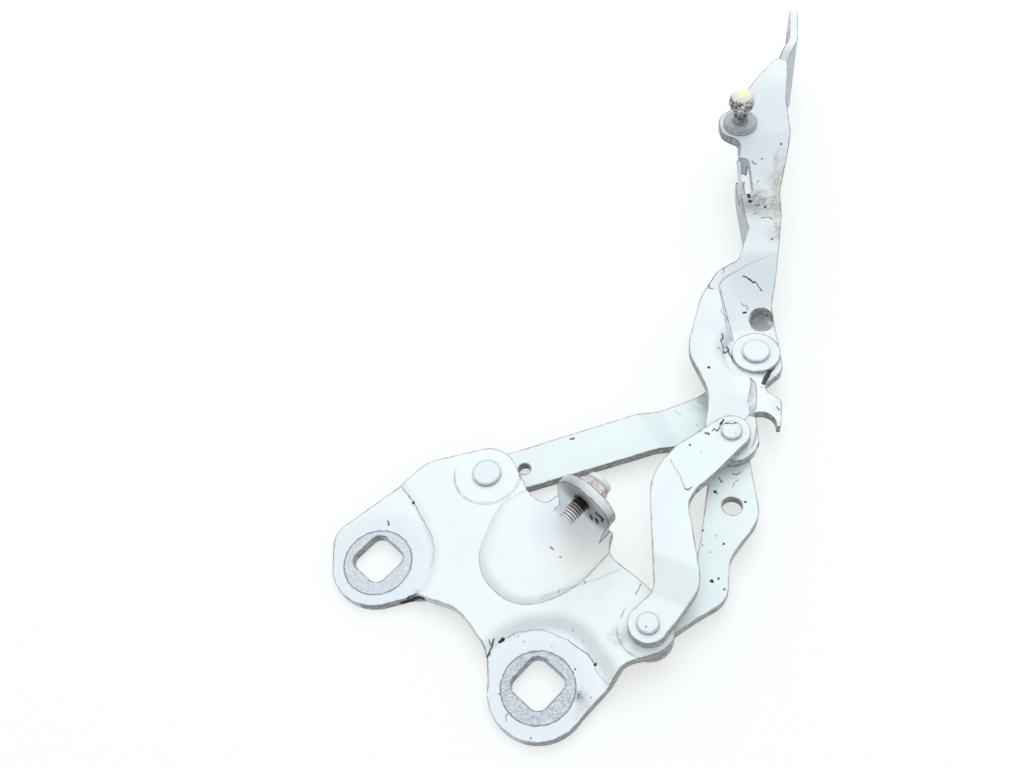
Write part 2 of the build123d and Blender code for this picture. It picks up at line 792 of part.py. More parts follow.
def ball_stud():
    """The strut's ball on its neck and flange, riveted through the deck."""
    flange_top = DECK_TOP + STUD_FLANGE_THICKNESS
    stud = column(BALL_PLACE, STUD_FLANGE / 2, DECK_TOP, flange_top)
    stud = chamfer(stud.edges().filter_by(GeomType.CIRCLE).sort_by(Axis.Z)[-1], 0.5)
    stud += column(BALL_PLACE, STUD_NECK / 2, flange_top, BALL_HEIGHT)
    stud += Pos(BALL_PLACE.X, BALL_PLACE.Y, BALL_HEIGHT) * Sphere(BALL_DIAMETER / 2)
    under = DECK_TOP - SHEET
    stud += column(BALL_PLACE, STUD_SHANK / 2, under, DECK_TOP)
    stud += column(BALL_PLACE, STUD_RIVET / 2, under - HEAD_HEIGHT, under)
    return stud


# Everything, by node name

def front_stack(centre, sheet_top):
    """Rivet, bush and washers of a front pivot, round the sheet that turns in it."""
    sheet_low = sheet_top - SHEET
    low = sheet_low - LINK_STEP - SHEET
    high = sheet_top + LINK_STEP + SHEET
    return {
        "rivet": rivet(centre, FRONT_SHANK, FRONT_HEAD, low, high),
        "bush": ring(centre, FRONT_BUSH_OUTER, FRONT_BUSH_BORE, sheet_low, sheet_top),
        "upper_washer": ring(
            centre, FRONT_WASHER / 2, FRONT_SHANK / 2, sheet_top + WASHER_GAP, sheet_top + LINK_STEP
        ),
        "lower_washer": ring(
            centre, FRONT_WASHER / 2, FRONT_SHANK / 2, sheet_low - LINK_STEP, sheet_low - WASHER_GAP
        ),
    }


def rear_stack(centre, sheet_top, cover):
    """Rivet and washer of a rear pivot; cover is what lies between the sheet and the upper head."""
    sheet_low = sheet_top - SHEET
    low = sheet_low - LINK_STEP - SHEET
    high = sheet_top + cover + WASHER_GAP
    return {
        "rivet": rivet(centre, REAR_SHANK, REAR_HEAD, low, high),
        "washer": ring(
            centre, REAR_WASHER / 2, REAR_SHANK / 2, sheet_low - LINK_STEP, sheet_low - WASHER_GAP
        ),
    }


def build():
    nodes = {
        "fender_bracket": fender_bracket(),
        "stop_bolt": stop_bolt(),
        "stop_nut": stop_nut(),
        "front_link_upper": upper_front_link(),
        "front_link_lower": lower_front_link(),
        "rear_link": rear_link(),
        "bonnet_arm": bonnet_arm(),
        "ball_stud": ball_stud(),
        "arm_disc": ring(
            B2,
            ARM_DISC / 2,
            REAR_SHANK / 2,
            PAD_B2_TOP + WASHER_GAP,
            PAD_B2_TOP + WASHER_GAP + ARM_DISC_THICKNESS,
        ),
    }
    for name, solid in front_stack(A1, PAD_A1_TOP).items():
        nodes["front_bracket_" + name] = solid
    for name, solid in front_stack(B1, WEB_TOP).items():
        nodes["front_arm_" + name] = solid
    nodes["rear_bracket_bush"] = ring(
        A2, REAR_BUSH_OUTER, REAR_BUSH_BORE, PAD_A2_TOP - SHEET, PAD_A2_TOP
    )
    for name, solid in rear_stack(A2, PAD_A2_TOP, 0).items():
        nodes["rear_bracket_" + name] = solid
    for name, solid in rear_stack(B2, PAD_B2_TOP, ARM_DISC_THICKNESS).items():
        nodes["rear_arm_" + name] = solid
    return nodes


def write(nodes):
    os.makedirs("parts", exist_ok=True)
    for name, solid in nodes.items():
        export_step(solid, f"parts/{name}.step")


write(build())
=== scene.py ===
import math

import bpy
from mathutils import Matrix, Vector


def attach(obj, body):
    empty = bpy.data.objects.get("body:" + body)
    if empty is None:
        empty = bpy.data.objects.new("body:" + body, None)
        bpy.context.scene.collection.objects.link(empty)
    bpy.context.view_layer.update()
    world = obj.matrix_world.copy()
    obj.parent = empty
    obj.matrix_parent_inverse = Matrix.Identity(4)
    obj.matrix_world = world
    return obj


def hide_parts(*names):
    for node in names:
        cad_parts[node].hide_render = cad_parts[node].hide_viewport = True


# A painted pressed-steel bonnet hinge, lying on a white floor under soft light.

MM = 0.001
MM_PER_METRE = 1000.0


def mm(x, y, z):
    return Vector((x, y, z)) * MM


# The ears' bolts, in millimetres, and the round print that each bolt's washer left
FRONT_EAR = (0.0, 0.0)
REAR_EAR = (-53.2, 44.9)
PRINT_RADIUS = 11.6
PRINT_SOFTNESS = 0.15
PRINT_RIM = (0.08, 0.34)

# The stop bolt stands square to the tab: where its axis runs, and distances out along it
TAB_TURN = math.radians(47.9)
TAB_OUTWARDS = Vector((math.cos(TAB_TURN), math.sin(TAB_TURN), 0))
TAB_ACROSS = Vector((-TAB_OUTWARDS.y, TAB_OUTWARDS.x, 0))
DOWN = Vector((0, 0, -1))
BOLT_ALONG = 21.7
BOLT_HEIGHT = 25.4
BOLT_TIP = 41.2
NUT_START = 53.0
HEAD_START = 57.3
HEAD_END = 59.5

# The stop bolt's thread and the nut on it
THREAD_PITCH = 1.0
THREAD_TURNS = 8
THREAD_CREST = 2.65
THREAD_ROOT = 2.15
TIP_CHAMFER = 0.35
SHANK_RADIUS = 2.95
NUT_HALF_FLATS = 4.2
NUT_CHAMFER = 0.75
NUT_BORE_RADIUS = 3.0
HALF_FACET = math.radians(30)

# Faces that meet at a smaller angle are shaded as one
SMOOTH_ANGLE = math.radians(35)

# The two ends of the strip that closes the relief cut in the arm's fold
STRIP_START = Vector((86.2, 208.2, 12.0))
STRIP_END = Vector((84.9, 189.6, 7.9))
STRIP_WIDENING = 1.7

# Marks in the paint: half width and darkness, then the points of each crack, chip or scratch, in millimetres
BRACKET_MARKS = (
    (0.20, 0.9, (-15.8, 10.2, 4.0), (-14.8, 11.8, 4.1), (-14.1, 13.7, 4.9), (-13.4, 15.3, 5.7)),
    (0.20, 0.7, (-14.4, 13.4, 4.9), (-14.9, 14.8, 6.3)),
    (0.34, 1.0, (-11.7, 14.9, 4.1), (-10.6, 15.8, 4.1)),
    (0.16, 0.35, (-9.5, 16.1, 3.9), (-6.9, 17.6, 4.0), (-2.1, 18.4, 3.8), (2.0, 18.4, 3.7), (9.8, 14.7, 3.5)),
    (0.16, 0.6, (9.8, 14.7, 3.5), (12.2, 12.3, 3.5), (15.5, 10.0, 3.6), (17.5, 6.9, 3.7)),
    (0.16, 0.3, (17.5, 5.3, 3.5), (18.9, 2.8, 3.5), (21.5, -0.1, 4.3)),
    (0.40, 1.0, (18.0, 6.3, 3.7)),
    (0.12, 0.7, (-9.9, -9.8, 3.5), (-9.9, -8.2, 3.5), (-8.9, -7.4, 3.5)),
    (0.14, 0.7, (-12.3, -1.4, 3.5), (-11.7, -1.5, 3.5)),
    (0.18, 0.7, (-6.0, 16.4, 3.5)),
    (0.20, 0.6, (-4.1, 14.7, 3.5)),
    (0.20, 0.45, (4.7, 13.0, 3.5)),
    (0.20, 0.6, (11.5, 17.1, 4.7)),
    (0.18, 0.5, (14.5, 13.8, 4.4)),
    (0.26, 0.8, (11.6, 5.3, 3.5)),
    (0.24, 0.7, (-2.3, -15.1, 3.5)),
    (0.24, 0.7, (16.1, -3.6, 3.5)),
    (0.22, 0.8, (12.2, -2.8, 3.5)),
    (0.22, 0.9, (5.6, 44.2, 9.0), (6.3, 43.5, 9.0)),
    (0.28, 0.7, (8.5, 40.5, 9.0)),
    (0.24, 0.9, (-50.7, 60.1, 3.5), (-50.3, 58.6, 3.5)),
    (0.45, 1.0, (-42.2, 66.4, 3.7)),
    (0.30, 0.16, (2.0, 27.0, 8.5), (12.9, 30.8, 7.7), (20.9, 33.0, 7.8), (27.5, 35.7, 7.9)),
    (0.26, 0.5, (7.8, 28.8, 8.4)),
    (0.28, 0.6, (16.1, 32.0, 7.7)),
    (0.16, 0.6, (33.8, 30.0, 8.3), (32.7, 28.1, 8.3), (32.0, 26.7, 8.4)),
    (0.16, 0.4, (28.2, 21.9, 8.4), (27.5, 20.7, 8.5), (26.8, 19.4, 8.5)),
    (0.18, 0.55, (-46.5, 73.1, 3.5), (-44.2, 69.7, 3.7), (-41.9, 66.3, 3.9)),
    (0.14, 0.5, (-41.9, 66.3, 3.9), (-39.5, 61.5, 3.8), (-36.8, 56.5, 4.4), (-34.8, 52.5, 4.7)),
    (0.34, 1.0, (-44.7, 30.9, 1.1), (-41.3, 31.6, 1.5), (-38.0, 31.4, 4.2), (-36.8, 30.7, 3.9)),
    (0.24, 0.9, (-42.5, 31.6, 3.4), (-39.6, 32.6, 3.6), (-37.0, 32.4, 3.8), (-34.0, 31.6, 4.2)),
    (0.14, 0.35, (-34.8, 52.5, 4.7), (-34.0, 47.8, 4.4), (-34.3, 44.3, 4.1), (-35.3, 41.7, 3.7)),
    (0.52, 1.0, (19.5, 49.1, 19.1)),
    (0.56, 1.0, (21.3, 47.4, 19.3)),
    (0.26, 1.0, (21.3, 47.4, 24.8), (23.4, 45.6, 24.1)),
    (0.42, 1.0, (23.0, 45.9, 22.6)),
)
LINK_MARKS = (
    (0.14, 0.45, (46.7, 73.2, 10.9), (49.0, 66.7, 11.8), (50.5, 60.2, 13.2)),
    (0.20, 0.8, (50.6, 60.6, 13.1), (51.0, 59.8, 13.3), (52.4, 61.1, 12.8)),
    (0.30, 0.85, (59.6, 82.4, 10.9), (60.6, 81.9, 10.9)),
    (0.16, 0.9, (61.7, 83.0, 10.9), (62.5, 83.8, 10.9), (63.4, 82.9, 10.9),
     (64.5, 84.4, 10.9), (65.0, 85.6, 10.9)),
    (0.26, 1.0, (65.0, 85.6, 10.9), (65.9, 87.1, 10.9)),
    (0.34, 0.9, (53.8, 78.1, 10.9)),
    (0.30, 0.25, (57.2, 75.1, 10.9)),
    (0.38, 1.0, (60.9, 64.1, 2.7)),
    (0.24, 0.7, (61.5, 63.2, 2.7)),
    (0.36, 0.9, (55.3, 50.1, 2.7)),
    (0.26, 0.7, (54.7, 44.9, 2.7)),
    (0.26, 0.5, (59.5, 47.9, 2.7)),
    (0.36, 1.0, (61.5, 44.8, 2.7)),
    (0.26, 0.6, (56.8, 42.2, 2.7)),
    (0.36, 1.0, (70.4, 59.6, 2.7)),
    (0.45, 1.0, (56.3, 32.1, 2.7)),
    (0.30, 1.0, (58.4, 32.9, 2.7)),
    (0.34, 0.8, (59.8, 29.1, 2.7)),
    (0.16, 0.8, (62.8, 69.4, 2.7), (63.5, 67.5, 2.7)),
    (0.16, 0.7, (67.4, 70.6, 2.7), (68.9, 70.1, 2.7), (70.0, 71.2, 2.7)),
    (0.14, 0.5, (69.0, 68.2, 2.7), (67.9, 67.2, 2.7), (66.8, 65.5, 2.7)),
    (0.34, 0.9, (13.2, 90.0, 0.4), (14.2, 90.3, 0.4)),
    (0.14, 0.4, (51.0, 101.1, -3.2), (52.8, 99.4, -3.2)),
    (0.22, 0.5, (58.2, 94.5, -3.2)),
)
RIVET_MARKS = (
    (0.14, 0.9, (65.3, 84.9, 12.2), (68.8, 84.7, 12.2), (71.2, 84.9, 12.2)),
    (0.24, 0.7, (34.2, 13.7, 13.9)),
)
ARM_MARKS = (
    (0.16, 0.8, (67.9, 150.2, 8.0), (68.1, 148.2, 7.2), (69.4, 148.0, 7.1)),
    (0.14, 0.6, (72.4, 155.6, 9.6), (74.2, 154.9, 9.6), (73.7, 153.5, 9.0)),
    (0.20, 0.9, (70.4, 127.1, 6.1), (70.7, 126.5, 5.6), (69.7, 124.4, 5.4),
     (70.4, 123.5, 3.5), (70.3, 122.5, 3.1)),
    (0.16, 0.7, (67.8, 120.9, 6.2), (69.0, 121.2, 5.3)),
    (0.26, 0.9, (70.2, 121.4, 2.7), (71.9, 122.5, 0.9), (72.7, 123.4, 0.9), (72.1, 124.6, 1.1)),
    (0.20, 0.9, (72.6, 122.5, 0.9), (73.0, 120.2, 0.9), (74.0, 117.4, 1.6), (73.8, 116.4, 1.9)),
    (0.44, 1.0, (73.3, 135.6, 3.8)),
    (0.12, 0.5, (71.2, 137.7, 6.8), (72.0, 135.2, 6.8), (73.4, 136.3, 3.4)),
    (0.22, 0.95, (81.0, 151.8, 8.3), (83.1, 150.5, 7.8), (84.4, 148.9, 7.3), (85.1, 149.2, 7.4)),
    (0.17, 0.85, (85.1, 149.2, 7.4), (85.8, 148.4, 7.1), (86.7, 146.5, 6.4), (87.3, 145.7, 6.1)),
    (0.14, 0.6, (79.2, 141.9, 4.7), (79.8, 140.7, 4.3), (80.9, 141.0, 4.4),
     (81.5, 139.8, 3.9), (81.1, 139.1, 3.7)),
    (0.26, 1.0, (79.5, 138.3, 3.4), (80.6, 138.2, 3.4)),
    (0.42, 1.0, (64.0, 112.3, 6.8)),
    (0.30, 0.75, (78.0, 106.3, 6.3), (79.6, 106.9, 3.6), (81.0, 107.6, 1.8)),
    (0.62, 0.95, (88.1, 115.5, 2.4), (86.8, 113.6, 1.8), (85.2, 111.4, 0.9),
     (83.8, 109.0, 0.9), (83.2, 107.7, 0.9)),
    (0.16, 0.6, (82.0, 106.1, 0.9), (82.9, 105.6, 0.9)),
    (0.10, 0.5, (79.4, 106.7, 2.9), (79.5, 104.2, 2.2), (80.2, 103.7, 1.4), (77.3, 99.8, 5.1)),
    (0.44, 1.0, (87.8, 190.4, 11.5), (87.8, 188.9, 11.5)),
    (0.62, 1.0, (87.9, 186.6, 11.5)),
    (0.38, 1.0, (93.2, 183.0, 11.5)),
    (0.18, 0.7, (89.8, 189.3, 11.5), (91.1, 190.2, 11.5)),
    (0.24, 0.7, (89.6, 184.5, 11.5), (90.6, 183.8, 11.5), (91.4, 184.2, 11.5)),
    (0.18, 0.6, (88.5, 179.8, 11.5), (89.8, 180.7, 11.5)),
    (0.20, 0.7, (94.2, 187.7, 11.5)),
    (0.18, 0.7, (91.3, 177.3, 11.5), (94.0, 177.6, 11.5), (94.9, 176.4, 11.5)),
    (0.36, 0.9, (93.5, 166.2, 11.5)),
    (0.18, 0.7, (94.8, 167.1, 11.5)),
    (0.32, 0.9, (95.1, 206.7, 14.1)),
    (0.36, 0.8, (103.2, 212.2, 15.9)),
    (0.18, 0.8, (91.1, 206.2, 13.9), (91.7, 204.9, 13.5), (92.5, 204.8, 13.4)),
    (0.14, 0.6, (92.9, 197.7, 11.5), (91.9, 196.2, 11.5)),
    (0.22, 0.5, (100.6, 206.5, 14.0)),
    (0.22, 0.6, (97.3, 192.8, 11.5)),
    (0.22, 0.7, (86.0, 97.2, 0.9), (86.8, 95.9, 0.9)),
    (0.14, 0.7, (71.6, 87.5, 6.8), (74.9, 90.2, 6.8), (75.8, 91.4, 6.8)),
    (0.20, 0.5, (77.5, 86.7, 6.8), (76.8, 83.9, 6.8), (76.1, 80.8, 6.8), (74.7, 78.1, 6.8)),
)

# Tinted patches of paint, among them patches of painted shade and painted light: a place, a radius, its
# softness and the tint
BLUE_PAINT = (0.79, 0.87, 0.94, 1)
SHADED_PAINT = (0.70, 0.785, 0.84, 1)
BRACKET_TINTS_LIGHT_AND_SHADE = (
    (*FRONT_EAR, 3.5, 18.0, 4.0, BLUE_PAINT),
    (*REAR_EAR, 3.5, 18.0, 4.0, BLUE_PAINT),
    (12.0, 52.0, 9.0, 12.0, 4.0, BLUE_PAINT),
    # A painted highlight on the fold below the stop bolt
    (14.0, 42.0, 9.0, 10.0, 6.0, (0.98, 1.0, 1.0, 1)),
    # Painted shade on the tab's face, which faces away from the light, and the stop bolt's painted shadow
    # below it
    (12.2, 50.4, 29.0, 7.5, 4.5, (0.26, 0.27, 0.28, 1)),
    (16.0, 46.5, 25.0, 6.5, 4.5, (0.20, 0.20, 0.21, 1)),
    (20.1, 42.8, 22.0, 7.0, 4.5, (0.30, 0.31, 0.33, 1)),
    (17.0, 46.0, 19.0, 3.5, 3.0, (0.16, 0.16, 0.17, 1)),
    (12.0, 51.0, 24.0, 3.0, 3.0, (0.30, 0.31, 0.32, 1)),
)
ARM_PAINTED_LIGHT_AND_SHADE = (
    # Painted shade on the deck's far end and on the east shoulder, where the sheet turns down
    (95.0, 205.0, 13.0, 42.0, 10.0, SHADED_PAINT),
    (86.0, 152.0, 8.0, 12.0, 8.0, SHADED_PAINT),
    # Painted light on the steep border of the pressed seat
    (79.0, 103.5, 3.0, 7.0, 4.0, (0.90, 0.97, 0.98, 1)),
    # Painted shade in the pinched fold beside the relief cut
    (86.5, 185.5, 10.5, 3.5, 3.0, (0.42, 0.44, 0.45, 1)),
)

# Bands of painted shade with grime on the arm's deck, along its east shoulder where the sheet turns down and
# across its pinched fold: half width, strength and tint, then the two ends
ARM_SHADE_AND_GRIME_BANDS = (
    (2.0, 0.8, (0.56, 0.57, 0.54, 1), (102.5, 208.0, 14.2), (100.8, 197.0, 11.5)),
    (1.9, 0.9, (0.48, 0.49, 0.45, 1), (100.8, 197.0, 11.5), (98.3, 184.0, 11.5)),
    (1.8, 0.9, (0.46, 0.47, 0.43, 1), (98.3, 184.0, 11.5), (97.4, 168.0, 11.5)),
    (3.6, 0.6, (0.56, 0.58, 0.59, 1), (88.5, 192.0, 11.5), (89.0, 183.0, 11.5)),
    (2.4, 0.6, (0.62, 0.65, 0.66, 1), (90.0, 180.0, 11.5), (96.0, 180.0, 11.5)),
)

# Grime smeared on the paint, and painted shade under and beside other parts: a place, a radius, its strength
# and the tint
GREY_GRIME_AND_SHADE = (0.20, 0.21, 0.21, 1)
WARM_GRIME_AND_SHADE = (0.42, 0.40, 0.36, 1)
BRACKET_GRIME_AND_SHADE = (
    (12.5, -3.0, 3.5, 3.0, 0.8, GREY_GRIME_AND_SHADE),
    (15.0, -8.0, 3.5, 5.0, 0.45, WARM_GRIME_AND_SHADE),
    (-38.5, 31.5, 3.0, 3.5, 0.8, GREY_GRIME_AND_SHADE),
    # Painted shade on the bracket beside the S-link's end
    (25.5, 13.0, 8.5, 4.0, 0.4, GREY_GRIME_AND_SHADE),
)
LINK_PAINTED_SHADE = (
    # Painted shade: the arm's shadow on the rear link, the shade under the arm's ramp, and the arm end's
    # shadow on the lower link
    (61.5, 103.5, -3.2, 6.0, 0.30, GREY_GRIME_AND_SHADE),
    (86.0, 137.0, -3.2, 8.0, 1.6, (0.50, 0.53, 0.52, 1)),
    (68.5, 72.5, 2.7, 5.0, 0.30, GREY_GRIME_AND_SHADE),
)
ARM_GRIME_AND_SHADE = (
    # Painted shade in the pinched fold
    (91.0, 186.0, 11.5, 9.0, 0.75, GREY_GRIME_AND_SHADE),
    # Grime with painted shade along the east shoulder, where the sheet turns down
    (98.5, 197.0, 11.5, 5.0, 0.6, WARM_GRIME_AND_SHADE),
    (97.9, 182.0, 11.5, 6.0, 0.6, WARM_GRIME_AND_SHADE),
    (95.6, 168.0, 11.5, 6.0, 0.45, WARM_GRIME_AND_SHADE),
    (84.8, 110.8, 0.9, 3.0, 0.5, GREY_GRIME_AND_SHADE),
)

# Upright faces that are painted and no cut edge: a place and a radius each, the arm's folds seen from above,
# and the way that its flange faces
BRACKET_PAINTED = ((23.0, 46.5, 10.0, 3.0),)
ARM_PAINTED = ((88.2, 207.8, 10.0, 4.0),)
ARM_FOLDS = (
    ((60.6, 130.0), (64.4, 145.0), (71.5, 154.4), (80.2, 158.2), (85.4, 172.5), (84.6, 203.0)),
    ((87.5, 236.0), (97.5, 249.5), (115.0, 270.8), (119.6, 299.0)),
)
FOLD_HALF_WIDTH = 4.2
ARM_FLANGE_OUTWARDS = (0.955, -0.296, 0.0)

# How far the normal of an upright face may rise, and how closely a face's normal follows the tab's or the
# flange's own direction where the face is painted and no cut edge
UPRIGHT = (0.12, 0.35)
SQUARE_TO_TAB_OR_FLANGE = (0.90, 0.94)
CUT_DIRT = 0.88

# Paint and the dirt on it
LIGHT_PAINT = (0.88, 0.98, 0.985, 1)
DARK_PAINT = (0.83, 0.93, 0.95, 1)
ZINC_DARK = (0.36, 0.40, 0.45, 1)
ZINC_PALE = (0.60, 0.66, 0.73, 1)
ZINC_VEIN = (0.22, 0.24, 0.27, 1)
PRINT_RIM_GREY = (0.13, 0.14, 0.15, 1)
CUT_DARK = (0.17, 0.165, 0.155, 1)
CUT_PALE = (0.60, 0.61, 0.59, 1)
EDGE_BLACK = (0.045, 0.045, 0.042, 1)
CRACK_BLACK = (0.022, 0.022, 0.02, 1)

# Bare metal, the grease on it, and painted shade in the thread's grooves
THREAD_BRIGHT = (0.97, 0.98, 0.99, 1)
THREAD_PALE = (0.82, 0.84, 0.85, 1)
THREAD_GROOVE_SHADE = (0.22, 0.20, 0.19, 1)
THREAD_BROWN = (0.46, 0.40, 0.35, 1)
THREAD_BROWN_GROOVE_SHADE = (0.05, 0.04, 0.035, 1)
THREAD_ROOT_BLACK = (0.012, 0.011, 0.011, 1)
HEAD_PALE = (0.86, 0.90, 0.90, 1)
HEAD_GREY = (0.72, 0.76, 0.77, 1)
HEAD_EDGE = (0.05, 0.045, 0.04, 1)
BALL_WHITE = (1.0, 1.0, 0.97, 1)
BALL_CREAM = (0.95, 0.96, 0.90, 1)
BALL_YELLOW = (0.98, 0.98, 0.62, 1)
STUD_FLANGE_PALE = (0.62, 0.66, 0.70, 1)
STUD_FLANGE_GREY = (0.40, 0.43, 0.47, 1)
STUD_GREASE = (0.022, 0.02, 0.018, 1)
STUD_EDGE = (0.03, 0.03, 0.03, 1)
METAL_EDGE = (0.03, 0.028, 0.025, 1)

# Where the stop bolt's colour changes, in millimetres out along it,
# and away from its axis on the thread's flanks, where its grooves get painted shade
BOLT_TURNS_BROWN = (44.6, 46.4)
BOLT_BLACK_STARTS = (47.4, 48.3)
BOLT_BLACK_ENDS = (54.0, 55.0)
THREAD_FLANK = (2.2, 2.55)

# Heights on the ball stud where its colour changes, in millimetres
STUD_GREASE_STARTS = (19.6, 21.5)
STUD_FLANGE_ENDS = (24.6, 25.6)
STUD_GREASE_ENDS = (31.6, 33.2)
BALL_YELLOW_STARTS = (33.5, 34.2)

# How fine the patterns are, as lumps to the metre
CLOUDS = 55.0
PATCHES = 90.0
BLOTCHES = 260.0
SQUIGGLES = 300.0
BOLT_SMEARS = 500.0
SMEARS = 520.0
STREAKS = 650.0
WANDER = 700.0
ORANGE_PEEL = 700.0
METAL_GRAIN = 800.0
FINE_GRAIN = 900.0
FINEST_GRAIN = 1500.0
PRINT_CRYSTALS = 2200.0

# How far the outlines of marks and of patches wander, in millimetres
MARK_WANDER = 1.1
PATCH_WANDER = 0.8

# Shares at which heights count when a mark, a patch or a fold is matched to the surface
MARK_HEIGHTS = 0.35
GRIME_AND_SHADE_HEIGHTS = 2.0
NO_HEIGHTS = 0.0
TRUE_HEIGHTS = 1.0

# Where a mix node of colours has its sockets
MIX_FACTOR, MIX_FIRST, MIX_SECOND, MIX_RESULT = 0, 6, 7, 2

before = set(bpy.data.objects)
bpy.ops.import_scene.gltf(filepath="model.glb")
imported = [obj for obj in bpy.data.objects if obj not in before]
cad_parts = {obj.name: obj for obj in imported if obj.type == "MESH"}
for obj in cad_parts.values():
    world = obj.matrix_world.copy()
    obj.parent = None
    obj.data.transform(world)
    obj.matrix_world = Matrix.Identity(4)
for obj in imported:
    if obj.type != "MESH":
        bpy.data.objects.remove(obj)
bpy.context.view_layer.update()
scene = bpy.context.scene
bpy.ops.object.select_all(action="DESELECT")


# Graphs of shader nodes

class Graph:
    """Adds nodes to a tree and joins them."""

    def __init__(self, tree):
        self.tree = tree

    def add(self, kind, **options):
        node = self.tree.nodes.new(kind)
        for name, option in options.items():
            setattr(node, name, option)
        return node

    def join(self, output, target):
        self.tree.links.new(output, target)

    def put(self, value, socket):
        """Joins an output to a socket, or sets the socket to a plain value."""
        if isinstance(value, bpy.types.NodeSocket):
            self.join(value, socket)
        else:
            socket.default_value = value

    def coordinates(self):
        return self.add("ShaderNodeTexCoord").outputs["Object"]

    def math(self, operation, first, second=0.0, clamp=False):
        node = self.add("ShaderNodeMath", operation=operation, use_clamp=clamp)
        self.put(first, node.inputs[0])
        self.put(second, node.inputs[1])
        return node.outputs["Value"]

    def opposite(self, mask):
        """1 where a mask is 0, and 0 where it is 1."""
        return self.math("SUBTRACT", 1.0, mask)

    def either(self, first, second):
        """The larger of two masks, or the second where there is no first one yet."""
        return second if first is None else self.math("MAXIMUM", first, second)

    def from_middle(self, value):
        """How far a noise's value lies from its middle."""
        return self.math("ABSOLUTE", self.math("SUBTRACT", value, 0.5))

    def on_vectors(self, operation, values):
        node = self.add("ShaderNodeVectorMath", operation=operation)
        for value, socket in zip(values, node.inputs):
            self.put(value, socket)
        return node

    def vector(self, operation, *values):
        """An operation on vectors that gives a vector."""
        return self.on_vectors(operation, values).outputs["Vector"]

    def measure(self, operation, *values):
        """An operation on vectors that gives a number."""
        return self.on_vectors(operation, values).outputs["Value"]

    def upward(self, vector):
        """The Z part of a vector."""
        parts = self.add("ShaderNodeSeparateXYZ")
        self.join(vector, parts.inputs["Vector"])
        return parts.outputs["Z"]

    def ramp(self, value, low, high):
        """0 below low, 1 above high and a smooth step between them."""
        node = self.add("ShaderNodeMapRange", interpolation_type="SMOOTHSTEP")
        self.join(value, node.inputs["Value"])
        self.put(low, node.inputs["From Min"])
        self.put(high, node.inputs["From Max"])
        return node.outputs["Result"]

    def blend(self, mask, first, second):
        """The first colour where a mask is 0, and the second where it is 1."""
        node = self.add("ShaderNodeMix", data_type="RGBA")
        self.join(mask, node.inputs[MIX_FACTOR])
        self.put(first, node.inputs[MIX_FIRST])
        self.put(second, node.inputs[MIX_SECOND])
        return node.outputs[MIX_RESULT]

    def noise(self, coordinates, scale, detail=3.0, roughness=0.55, distortion=0.0, output="Fac"):
        node = self.add("ShaderNodeTexNoise")
        node.inputs["Scale"].default_value = scale
        node.inputs["Detail"].default_value = detail
        node.inputs["Roughness"].default_value = roughness
        node.inputs["Distortion"].default_value = distortion
        self.join(coordinates, node.inputs["Vector"])
        return node.outputs[output]

    def cells(self, coordinates, scale):
        """Scattered cells: the distance to each one's middle, and a number of its own."""
        node = self.add("ShaderNodeTexVoronoi")
        self.put(scale, node.inputs["Scale"])
        self.join(coordinates, node.inputs["Vector"])
        channels = self.add("ShaderNodeSeparateColor")
        self.join(node.outputs["Color"], channels.inputs["Color"])
        return node.outputs["Distance"], channels.outputs["Red"]

    def group(self, tree, **values):
        """A shared group of nodes, with its inputs given by their names."""
        node = self.add("ShaderNodeGroup", node_tree=tree)
        for name, value in values.items():
            self.put(value, node.inputs[name.replace("_", " ")])
        return node

    def roughen(self, shader, mask, smooth, extra):
        """Sets a shader's roughness where a mask is 0, and how much is added where it is 1."""
        self.join(self.math("ADD", smooth, self.math("MULTIPLY", mask, extra)), shader.inputs["Roughness"])

    def dent(self, shader, height, strength, depth):
        """Gives a shader's surface small dents, with their depth in metres."""
        bump = self.add("ShaderNodeBump")
        bump.inputs["Strength"].default_value = strength
        bump.inputs["Distance"].default_value = depth
        self.join(height, bump.inputs["Height"])
        self.join(bump.outputs["Normal"], shader.inputs["Normal"])


def new_material(name):
    """A new material, the graph of its nodes and its shader."""
    material = bpy.data.materials.new(name)
    material.use_nodes = True
    return material, Graph(material.node_tree), material.node_tree.nodes["Principled BSDF"]


def new_group(name, inputs, outputs):
    tree = bpy.data.node_groups.new(name, "ShaderNodeTree")
    for label, kind, default in inputs:
        socket = tree.interface.new_socket(label, in_out="INPUT", socket_type=kind)
        if default is not None:
            socket.default_value = default
    for label, kind in outputs:
        tree.interface.new_socket(label, in_out="OUTPUT", socket_type=kind)
    graph = Graph(tree)
    return tree, graph, graph.add("NodeGroupInput").outputs, graph.add("NodeGroupOutput").inputs


# Camera, floor and light

CAMERA_PLACE = mm(30.31, -104.01, 318.94)
CAMERA_RIGHT = Vector((0.99255, -0.00381, -0.12178))
CAMERA_UP = Vector((0.07191, 0.82521, 0.56023))
CAMERA_BACK = Vector((0.09836, -0.56481, 0.81934))
SENSOR_WIDTH = 36.0
LENS = 36.73
FLOOR_NORMAL = Vector((0.053, 0.051, 0.997)).normalized()
FLOOR_PLACE = mm(-69, 50, -0.05)
FLOOR_SIZE = 6.0
FLOOR_SEEN = (0.375, 0.405, 0.41, 1)
FLOOR_UNSEEN = (0.42, 0.42, 0.42, 1)
FLOOR_GLOW = 0.62
WHITE = (1.0, 1.0, 1.0, 1)
SKY_UNSEEN = 0.62
SKY_SEEN_EXTRA = 0.36
LIGHT_TARGET = Vector((0.03, 0.12, 0.0))
LIGHT_SIZE = 1.2


